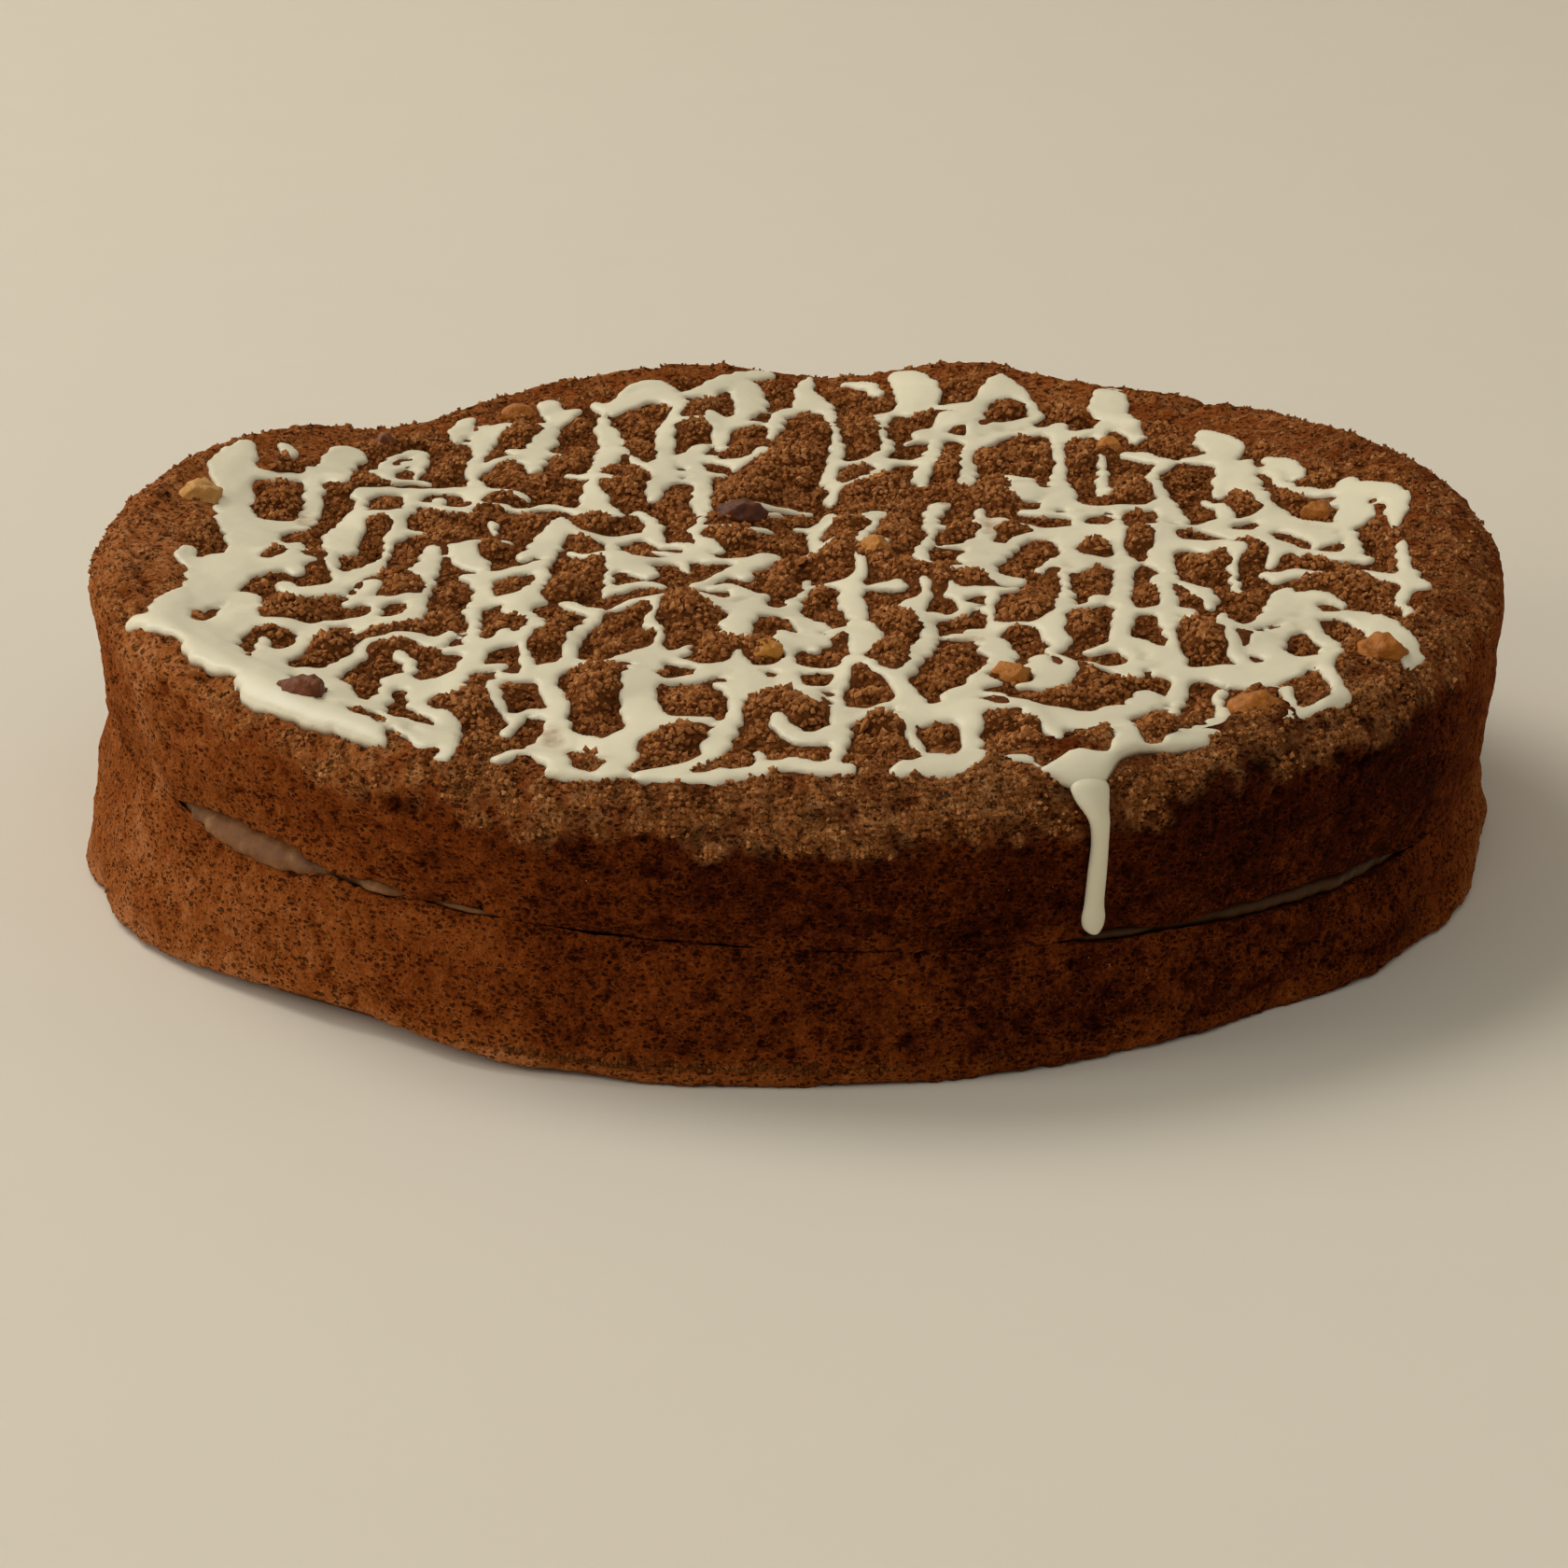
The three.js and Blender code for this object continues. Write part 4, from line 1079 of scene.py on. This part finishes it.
88 -46 2.5, 86 -52 3, 83 -57 6, 82 -63 6, 85 -67 4, 91 -66 3;
94 -43 3, 99 -44 5, 102 -50 7, 104 -57 8, 106 -63 6, 106 -67 2.5;
63 -72 2.5, 68 -72 4, 73 -72 6, 78 -74 9, 84 -71 7;
66 -74 3, 65 -82 3, 64 -90 1.6;
83 -80 2.5, 83 -86 2, 81 -93 3.5;
72 -80 2.5, 72 -88 2.5, 70 -95 4, 67 -100 5, 62 -105 4, 57 -110 4, 51 -113 3.5, 46 -116 3.5;
60 -82 5, 58 -88 5, 54 -92 6, 50 -97 8, 45 -95 6, 41 -95 5;
43 -98 4, 44 -104 2;
54 -98 5, 55 -105 4.5, 53 -109 3;
35 -112 1.6, 39 -112 2;
14 -112 2.5, 13 -115 2;
41 -115 1.6, 46 -116.5 3, 50 -117.5 3.5, 53 -116 2;
46.4 -112.2 4, 47.2 -114.2 9, 48.2 -116.6 9, 49 -118.5 7
""")
# Places where the icing is a thin film over a nut or a clump.
FILMS = laid("""
33 46 7, 33 40 8, 33 33 7; 94 -13 3, 95 -19 4; 28 -55 5, 32 -54 5; 20 -66 2.5, 16 -74 2.5;
-38 -96 4, -37 -102 4; 38 18 3, 38 10 3; -89 22 3, -88 16 4
""")
THREADS = {"count": 52, "reach": 100, "slant": 0.4, "length": (8, 15), "bend": 1.3,
           "width": (1.9, 2.5), "seed": 65}
DRIP = {"angle": -67.5, "half": 2.2, "thickness": 2.2, "proud": 1.0}
# Down the drip: how far behind the drip's front it lies, its height, its width and a sideways shift.
DRIP_STATIONS = [
    (7.4, 45.8, 3.0, 0.3), (5.4, 46.6, 5.4, 0.2), (3.4, 46.1, 6.6, 0.1), (2.0, 44.6, 5.8, 0.0),
    (1.0, 43.1, 4.4, 0.1), (0.3, 41.2, 3.4, 0.4), (0.2, 37.5, 2.9, 0.4), (0.2, 33.0, 3.2, 0.0),
    (0.5, 28.0, 3.3, -0.3), (0.6, 25.2, 4.0, -0.4), (0.8, 23.4, 3.0, -0.4), (1.0, 22.8, 0.4, -0.4),
]
ICING = {"edge": 0.85, "thickness": 0.46, "sunk": 0.22, "lift": 0.2, "crown": 0.07, "depth": 1.3,
         "drape": 2.2, "spread": -0.04, "follow": 0.35, "over_edge": 6.0, "at_drip": 4.6,
         "narrowest": 2.0, "pull_back": 3.5, "bedded": 0.55, "smallest_drop": 9.0}


def stream_reach(field, streams, softness=0.7):
    """How far inside the streams each cell is, in millimetres, with fillets where they meet."""
    total = np.zeros(field.x.shape)
    for stream in streams:
        nodes = np.array(stream)
        length = np.linalg.norm(np.diff(nodes[:, :2], axis=0), axis=1).sum()
        steps = np.linspace(0, len(nodes) - 1, max(3, int(length / 0.4)))
        reach = np.full(field.x.shape, -9.0)
        for x, y, width in zip(*(smooth_read(nodes[:, k], steps) for k in range(3))):
            width = max(width, ICING["narrowest"])
            window = field.window(x, y, width / 2 + 3)
            away = np.hypot(field.x[window] - x, field.y[window] - y)
            reach[window] = np.maximum(reach[window], width / 2 - away)
        total += np.exp(reach / softness)
    return softness * np.log(total + 1e-5)


def cross_threads():
    """Short thin threads that lie across the streams, mostly from left to right."""
    rng = np.random.default_rng(THREADS["seed"])
    threads = []
    for _ in range(THREADS["count"]):
        radius, turn = THREADS["reach"] * math.sqrt(rng.random()), rng.uniform(0, 2 * math.pi)
        way, length = rng.normal(0, THREADS["slant"]), rng.uniform(*THREADS["length"])
        along = np.linspace(-0.5, 0.5, 5)
        x = radius * math.cos(turn) + length * along * math.cos(way)
        y = radius * math.sin(turn) + length * along * math.sin(way)
        y += rng.normal(0, THREADS["bend"]) * (1 - 4 * along**2)
        threads.append(np.stack([x, y, np.full(len(x), rng.uniform(*THREADS["width"]))], 1))
    return threads


def without_specks(reach, step):
    """The reach without the patches that are too small for a drop of icing."""
    iced = reach > 0
    label = np.where(iced, np.arange(1, reach.size + 1).reshape(reach.shape), 0)
    while True:
        spread = label.copy()
        for axis in (0, 1):
            for side in (1, -1):
                spread = np.maximum(spread, np.roll(spread, side, axis))
                spread = np.where(iced, spread, 0)
        if np.array_equal(spread, label):
            break
        label = spread
    patch = np.bincount(label.ravel())[label] * step**2
    return np.where(iced & (patch < ICING["smallest_drop"]), -0.5, reach)


class Icing:
    """The poured icing as a height field: where it lies, how high, and what is bare."""

    def __init__(self, field):
        self.field = field
        warp = [0.5 * field.noise(5, seed) for seed in (61, 62)]
        plain = stream_reach(field, STREAMS + cross_threads())
        pulled = ICING["pull_back"] * smooth_step(45, 100, field.y)
        reach = field.read(plain, field.x + warp[0], field.y + warp[1] - pulled) + ICING["spread"]
        edge = around(CREST_RADII, field.angle) + ICING["over_edge"] + 0.5 * field.noise(14, 64)
        edge += ICING["at_drip"] * near(field.angle, DRIP["angle"], 2.8)
        self.plan = np.minimum(reach + 0.15 * field.noise(4.2, 63, 20), edge - field.radius)

    def cover(self, x, y):
        """1 where the icing lies, 0 where it doesn't, at points seen from above."""
        return smooth_step(-0.5, 0.7, self.field.read(self.plan, x, y))

    def lay(self, ground, on_crumble, nuts):
        """Lays the icing over the ground, and leaves the walnut pieces bare."""
        field = self.field
        step = field.step
        smooth = blur(ground, ICING["drape"] / step)
        lumps = np.clip(blur(ground, 1.3 / step) - smooth, -1.3, 1.3) * on_crumble
        bitten = self.plan - 0.11 * lumps - 3 * nuts * on_crumble
        self.reach = without_specks(blur(bitten, 0.5 / step), step)
        raised = field.top + ICING["lift"] + ICING["follow"] * np.clip(smooth - field.top, -1.5, 2.5)
        level = mix(blur(ground, 0.6 / step) + 0.3, raised + 0.3 * lumps, on_crumble)
        self.level = blur(level, 0.5 / step)
        inside = np.clip(self.reach / ICING["edge"], 0, 1)
        roundness = np.sqrt(1 - (1 - inside) ** 2)
        film = smooth_step(-0.6, 1.0, stream_reach(field, FILMS))
        thickness = ICING["thickness"] * (1 - 0.7 * film)
        crown = ICING["crown"] * np.clip(self.reach - 1, 0, 3)
        self.heights = self.level - ICING["sunk"] + thickness * roundness + crown * (1 - film)
        self.thin = np.clip(film + 0.3 * smooth_step(0.75, 0.1, self.reach), 0, 1)

    def edge_move(self):
        """How far each cell outside the icing moves to lie on its edge."""
        field = self.field
        slope_y, slope_x = np.gradient(self.reach, field.step)
        x, y = field.x.copy(), field.y.copy()
        outside = self.reach < 0
        for _ in range(3):
            reach, dx, dy = (field.read(v, x, y) for v in (self.reach, slope_x, slope_y))
            pull = np.where(outside, -reach / (dx**2 + dy**2 + 0.05), 0)
            x, y = x + pull * dx, y + pull * dy
        limit = 1.6 * field.step
        return (np.clip(v, -limit, limit) for v in (x - field.x, y - field.y))

    def piece(self, material):
        """A closed mesh whose outline lies on the icing's edge."""
        field = self.field
        covered = self.reach > 0
        keep = covered.copy()
        for down, along in [(0, 1), (1, 0), (1, 1), (1, -1)]:
            for side in (1, -1):
                keep |= np.roll(covered, (side * down, side * along), (0, 1))
        dx, dy = self.edge_move()
        x, y = field.x + dx, field.y + dy
        edge_height = field.read(self.level, x, y) - ICING["sunk"]
        heights = np.where(self.reach < 0, edge_height, self.heights)
        return field_piece(
            "icing_net", (x, y), heights, keep, material, {"thin": self.thin}, ICING["depth"],
            touched=covered,
        )


def drip_piece(material):
    """The stream over the front edge and down the side, ending in a round drop."""
    turn, up = math.radians(DRIP["angle"]), np.array([0, 0, 1])
    outward = np.array([math.cos(turn), math.sin(turn), 0])
    sideways = np.array([-outward[1], outward[0], 0])
    front = shifted(BULGE, DRIP["angle"]) + DRIP["proud"]
    stations = np.array(DRIP_STATIONS)
    stations[:, 0] = front - stations[:, 0]
    steps = np.linspace(0, len(stations) - 1, 110)
    path = np.stack([smooth_read(stations[:, k], steps) for k in range(4)], 1)
    ahead = np.gradient(path[:, :2], axis=0)
    ahead /= np.linalg.norm(ahead, axis=1, keepdims=True)
    spin = np.arange(24)[:, None] * math.pi / 12
    rings = []
    for (radius, height, width, aside), (dr, dz) in zip(path, ahead):
        normal = up * dr - outward * dz
        thickness = min(DRIP["thickness"], width) * 0.6
        across = sideways * (aside + np.cos(spin) * width / 2) + normal * np.sin(spin) * thickness
        rings.append(outward * radius + up * height + across)
    grid = np.array(rings)
    return ring_piece("icing_drip", grid, material, {"thin": np.zeros(grid.shape[:2])})


def smooth_read(values, steps):
    """A smooth curve through evenly spaced values."""
    index = np.clip(np.floor(steps).astype(int), 0, len(values) - 2)
    t = steps - index
    before, after = np.maximum(index - 1, 0), np.minimum(index + 2, len(values) - 1)
    v0, v1, v2, v3 = values[before], values[index], values[index + 1], values[after]
    return hermite(t, v1, v2, (v2 - v0) / 2, (v3 - v1) / 2)


# ------------------------------------------------------------------ loose grains


def slope_normals(field, heights):
    down_y, down_x = np.gradient(heights, field.step)
    normal = np.stack([-down_x, -down_y, np.ones_like(down_x)], -1)
    return normal / np.linalg.norm(normal, axis=-1, keepdims=True)


GRANULES = {"spacing": 0.93, "most": 24800, "past_edge": 2.5, "clear_of_icing": 0.3}
SHOULDER_CRUMBS = {"count": 11500, "tone": 0.52}
FOOT_CRUMBS = {"count": 450, "tone": 0.22, "angle": -114, "half": 20}


def bed_grains(field, bed, reach, level, material):
    """Granules packed side by side over the bare crumble, painted darker in its hollows as shade."""
    rng = np.random.default_rng(81)
    normal = slope_normals(field, bed)
    spacing = GRANULES["spacing"]
    axis = np.arange(-field.half, field.half, spacing)
    x, y = (v.ravel() + rng.uniform(-0.5, 0.5, v.size) * spacing for v in np.meshgrid(axis, axis))
    angle, radius = np.degrees(np.arctan2(y, x)), np.hypot(x, y)
    wanted = radius < around(CRUMBLE_RADII, angle) + GRANULES["past_edge"]
    wanted &= field.read(reach, x, y) < -GRANULES["clear_of_icing"]
    chosen = rng.permutation(np.flatnonzero(wanted))[:GRANULES["most"]]
    x, y = x[chosen], y[chosen]
    places = np.stack([x, y, field.read(bed, x, y)], 1)
    normals = np.stack([field.read(normal[..., k], x, y) for k in range(3)], 1)
    away = smooth_step(0.2, 1.6, -field.read(reach, x, y))
    sizes = (0.50 + 0.42 * rng.random(len(x)) ** 1.5) * mix(0.7, 1, away)
    places += normals * (rng.uniform(-0.2, 0.45, len(x)) - 0.25 * (1 - away))[:, None]
    # Grains that lie deeper below the icing get a darker tone: painted shade in the hollows.
    hollow_shade = np.clip(field.read(level, x, y) - places[:, 2] - 0.3, -1, 3)
    tones = np.clip(rng.normal(0.50, 0.11, len(x)) - 0.16 * hollow_shade, 0, 1)
    return scatter_grains("crumble_grains", places, normals, sizes, tones, material, 82)


def side_crumbs(upper, lower, crumbs, material):
    """Crumbs stuck to the shoulder and along the foot; each layer is a grid and its normals."""
    rng = np.random.default_rng(91)
    on_shoulder = np.clip(crumbs - 0.22, 0, 1) ** 1.3
    on_foot = smooth_step(5.0, 1.0, lower[0][..., 2]) * at(FOOT_CRUMBS, ring_angles())
    picked = []
    kinds = (upper, on_shoulder, SHOULDER_CRUMBS), (lower, on_foot, FOOT_CRUMBS)
    for (grid, normal), weight, kind in kinds:
        count, tone = kind["count"], kind["tone"]
        weight[:6] = weight[-6:] = 0
        chosen = rng.choice(weight.size, count, p=(weight / weight.sum()).ravel())
        sizes = 0.24 + 0.42 * rng.random(count) ** 2.5
        tones = np.clip(rng.normal(tone, 0.36 * tone, count), 0, 1)
        picked.append((grid.reshape(-1, 3)[chosen], normal.reshape(-1, 3)[chosen], sizes, tones))
    joined = (np.concatenate(v) for v in zip(*picked))
    return scatter_grains("shoulder_crumbs", *joined, material, 92)


# ------------------------------------------------------------------ filling and walnuts


def filling_piece(material):
    angle = ring_angles()
    turn = np.radians(angle)
    waist, half = shifted(WAIST, angle), filling_half(angle)
    smear, leak = at(SMEAR, angle), at(LEAK, angle)
    circle = np.stack([np.cos(turn), np.sin(turn)], 1) * FILLING["noise_radius"]
    uneven = waves(circle, 9, 101) + 0.6 * waves(circle, 3.5, 102, 20)
    sunk = FILLING["sunk"]
    edge = waist - FILLING["inset"] - sunk + (SMEAR["outset"] + sunk) * smear + (LEAK["outset"] + sunk) * leak
    edge += summed([(outset + sunk, middle, half_width) for outset, middle, half_width in LEAK_SPOTS], angle)
    edge += 0.2 * (1 + smear + leak) * uneven
    flat = np.full_like(angle, SEAM["flat"])
    rows = [seam_row(flat, -1, FILLING["thickness"] / 2, 0), seam_row(waist - LIP_INSET, -1, half, 0)]
    for slope in np.radians([-70, -45, -20, 0, 20, 45, 70]):
        radius = mix(waist - LIP_INSET, edge, math.cos(slope))
        rows.append(seam_row(radius, math.sin(slope), half, 0))
    rows += [seam_row(waist - LIP_INSET, 1, half, 0), seam_row(flat, 1, FILLING["thickness"] / 2, 0)]
    grid = ring_grid(rows)
    outside = np.linalg.norm(grid[..., :2], axis=-1) - (waist - LIP_INSET)
    grid[..., 2] -= SMEAR["sag"] * smear * smooth_step(0, 3, outside)
    spots = sum(near(angle, middle, half_width) for _, middle, half_width in LEAK_SPOTS[:2])
    tone = np.broadcast_to(np.clip(1.1 * smear + 0.7 * spots + 0.06 * leak, 0, 1), grid.shape[:2])
    return ring_piece("caramel_filling", grid, material, {"tone": tone})


KERNEL = {"sink": 0.7, "cuts": 9, "cut_depth": (0.62, 0.9), "rough": 0.06, "size": 1.06}
# How light each walnut piece is, in the order of their names.
WALNUT_TONES = [0.12, 0.92, 0.58, 0.52, 0.78, 0.62, 0.48, 0.74, 0.50, 0.52, 0.30, 0.22]


def walnut_names():
    return sorted(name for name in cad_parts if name.startswith("walnut_"))


def nut_cover(field):
    """1 over the walnut pieces and 0 elsewhere."""
    cover = np.zeros(field.x.shape)
    for name in walnut_names():
        low, high = (np.array(corner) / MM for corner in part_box(name))
        middle, half = (low + high) / 2, (high - low) / 2
        away = ((field.x - middle[0]) / half[0]) ** 2 + ((field.y - middle[1]) / half[1]) ** 2
        cover[away < 0.95] = 1
    return cover


def chop(points, seed):
    """Cuts a round form with flat faces, as a chopped nut."""
    rng = np.random.default_rng(seed)
    low, high = points.min(0), points.max(0)
    half, middle = (high - low) / 2, (high + low) / 2
    away = (points - middle) / half
    faces = rng.normal(size=(KERNEL["cuts"], 3))
    faces /= np.linalg.norm(faces, axis=1, keepdims=True)
    over = (away @ faces.T / rng.uniform(*KERNEL["cut_depth"], KERNEL["cuts"])).max(1)
    away = away / np.maximum(1, over)[:, None]
    rough = 1 + KERNEL["rough"] * waves(points, 2.0, seed)
    cut = middle + away * half * KERNEL["size"] * rough[:, None]
    cut[:, 2] -= KERNEL["sink"]
    return cut


def walnut_pieces(material):
    """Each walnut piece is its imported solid, smoothed and then cut like a chopped kernel."""
    pieces = []
    for index, name in enumerate(walnut_names()):
        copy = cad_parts[name].data.copy()
        piece = add_object(name.replace("walnut", "walnut_kernel"), copy)
        weld = piece.modifiers.new("weld", "WELD")
        weld.merge_threshold = 0.0001
        smooth = piece.modifiers.new("round", "SUBSURF")
        smooth.levels = smooth.render_levels = 3
        apply_modifiers(piece)
        mesh = piece.data
        points = np.empty(len(mesh.vertices) * 3)
        mesh.vertices.foreach_get("co", points)
        points = chop(points.reshape(-1, 3) / MM, 200 + index)
        mesh.vertices.foreach_set("co", (points * MM).ravel())
        layer = mesh.attributes.new("tone", "FLOAT", "POINT")
        layer.data.foreach_set("value", np.full(len(points), WALNUT_TONES[index], np.float32))
        mesh.polygons.foreach_set("use_smooth", np.full(len(mesh.polygons), True))
        mesh.materials.clear()
        mesh.materials.append(material)
        mesh.update()
        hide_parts(name)
        pieces.append(piece)
    return pieces


def apply_modifiers(piece):
    graph = bpy.context.evaluated_depsgraph_get()
    mesh = bpy.data.meshes.new_from_object(piece.evaluated_get(graph))
    piece.modifiers.clear()
    piece.data = mesh


# ------------------------------------------------------------------ stage, lights, camera

CAMERA = {"place": (-0.2, -800.1, 279.9), "pitch": 18.776, "roll": -0.6165, "lens": 104.92}


def add_camera():
    data = bpy.data.cameras.new("camera")
    data.lens = CAMERA["lens"]
    data.sensor_width = 36
    data.clip_end = 50
    camera = add_object("camera", data)
    tilt = Matrix.Rotation(math.radians(90 - CAMERA["pitch"]), 4, "X")
    roll = Matrix.Rotation(math.radians(CAMERA["roll"]), 4, "Z")
    place = Matrix.Translation([v * MM for v in CAMERA["place"]])
    camera.matrix_world = place @ tilt @ roll
    bpy.context.scene.camera = camera


# In metres: where the floor starts, where it turns up, the radius of that turn, and its extent.
STAGE = {"front": -3.0, "turn": 1.1, "radius": 0.7, "extent": 3.2}


def add_stage(material):
    """A pale floor that curves up into the backdrop."""
    turn, radius, extent = STAGE["turn"], STAGE["radius"], STAGE["extent"]
    profile = [(STAGE["front"], 0.0), (-1.0, 0.0), (turn, 0.0)]
    for angle in np.radians(np.arange(6, 91, 6)):
        profile.append((turn + radius * math.sin(angle), radius * (1 - math.cos(angle))))
    profile.append((turn + radius, extent))
    points = [(x, y, z) for y, z in profile for x in (-extent, extent)]
    rows = len(profile)
    faces = np.array([(2 * k, 2 * k + 1, 2 * k + 3, 2 * k + 2) for k in range(rows - 1)])
    make_piece("floor", np.array(points) / MM, faces, material)


def add_light(name, place, target, size, power, colour):
    data = bpy.data.lights.new(name, "AREA")
    data.shape = "DISK"
    data.size = size
    data.energy = power
    data.color = colour
    light = add_object(name, data)
    way = Matrix.Translation(place).to_translation() - Matrix.Translation(target).to_translation()
    light.rotation_euler = way.to_track_quat("Z", "Y").to_euler()
    light.location = place


# Round soft lights: name, place, target, size in metres, power in watts and colour.
LIGHTS = [
    ("key", (-1.6, 1.3, 2.4), (0, 0, 0.05), 2.0, 58, (1, 0.98, 0.95)),
    ("left", (-1.6, -0.35, 0.6), (0, 0, 0.03), 0.8, 8.6, (1, 0.98, 0.95)),
    ("front", (0.0, -1.6, 1.5), (0, 0, 0.03), 1.4, 7.6, (1, 0.98, 0.96)),
]
WORLD = {"colour": (1.0, 0.98, 0.96, 1), "strength": 0.32}


def light_scene():
    world = bpy.data.worlds.new("world")
    bpy.context.scene.world = world
    world.use_nodes = True
    background = world.node_tree.nodes["Background"]
    background.inputs["Color"].default_value = WORLD["colour"]
    background.inputs["Strength"].default_value = WORLD["strength"]
    for light in LIGHTS:
        add_light(*light)


# ------------------------------------------------------------------ build


def ride(piece, *nodes, slot):
    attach(piece, ROOT)
    if nodes:
        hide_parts(*nodes)


# Half the side and the step of the grids for the crumble and for the icing.
CRUMBLE_FIELD = (117, 0.8)
ICING_FIELD = (125, 0.76)
# Air holes in the sponge: how many, their radii, and the rows that they lie in.
UPPER_PITS = [(900, (0.6, 1.1), (6, 64)), (220, (1.0, 2.0), (44, 74))]
LOWER_PITS = [(600, (0.6, 1.1), (4, 36))]
UPPER_SEED = 301
LOWER_SEED = 401


def build():
    bpy.context.scene.view_settings.view_transform = "Standard"
    sponge, crumble, icing = sponge_material(), crumble_material(), icing_material()

    coarse, fine = Field(*CRUMBLE_FIELD), Field(*ICING_FIELD)
    net = Icing(fine)
    upper, upper_grid, upper_normal, crumbs = sponge_piece(
        "upper_layer", upper_rows(), sponge, roughen_upper, UPPER_PITS, UPPER_SEED, net,
    )
    ride(upper, "upper_sponge", slot="sponge")
    lower, lower_grid, lower_normal, _ = sponge_piece(
        "lower_layer", lower_rows()[::-1], sponge, roughen_lower, LOWER_PITS, LOWER_SEED, net,
    )
    ride(lower, "lower_sponge", slot="sponge")
    ride(filling_piece(filling_material()), "filling", slot="filling")

    mounds, within = crumble_mounds(coarse)
    fine.top = outer_height(fine.x, fine.y)
    places = np.stack([fine.x.ravel(), fine.y.ravel(), fine.top.ravel()], 1)
    shape = fine.x.shape
    rough, crumby = roughen_upper(fine.angle, fine.top, places, net)
    crust = fine.top + sponge_push(places, rough.ravel(), crumby.ravel(), UPPER_SEED)[0].reshape(shape)
    on_crumble = smooth_step(2, -1, fine.radius - around(CRUMBLE_RADII, fine.angle))
    ground = mix(crust, coarse.read(mounds, fine.x, fine.y), on_crumble)
    net.lay(ground, on_crumble, nut_cover(fine))
    ride(net.piece(icing), slot="icing")
    ride(drip_piece(icing), slot="icing")

    reach, level = (fine.read(values, coarse.x, coarse.y) for values in (net.reach, net.level))
    bed = crumble_bed(coarse, mounds, within, reach, level)
    inside = coarse.radius < around(CRUMBLE_RADII, coarse.angle) + 3
    # The bed's low tone paints it dark between the grains, as shade.
    bed_piece = field_piece(
        "crumble_bed", (coarse.x, coarse.y), bed, inside, crumble,
        {"tone": np.full(bed.shape, BED["tone"])}, 0, RECESS_FLOOR + 1,
    )
    ride(bed_piece, "crumble", slot="crumble")
    ride(bed_grains(coarse, bed, reach, level, crumble), slot="crumble")
    layers = (upper_grid, upper_normal), (lower_grid, lower_normal)
    ride(side_crumbs(*layers, crumbs, crumble), slot="crumble")
    for piece in walnut_pieces(walnut_material()):
        ride(piece, slot="walnut")

    add_stage(plain_material("pale_floor", (0.69, 0.625, 0.50), 0.85))
    light_scene()
    add_camera()


build()
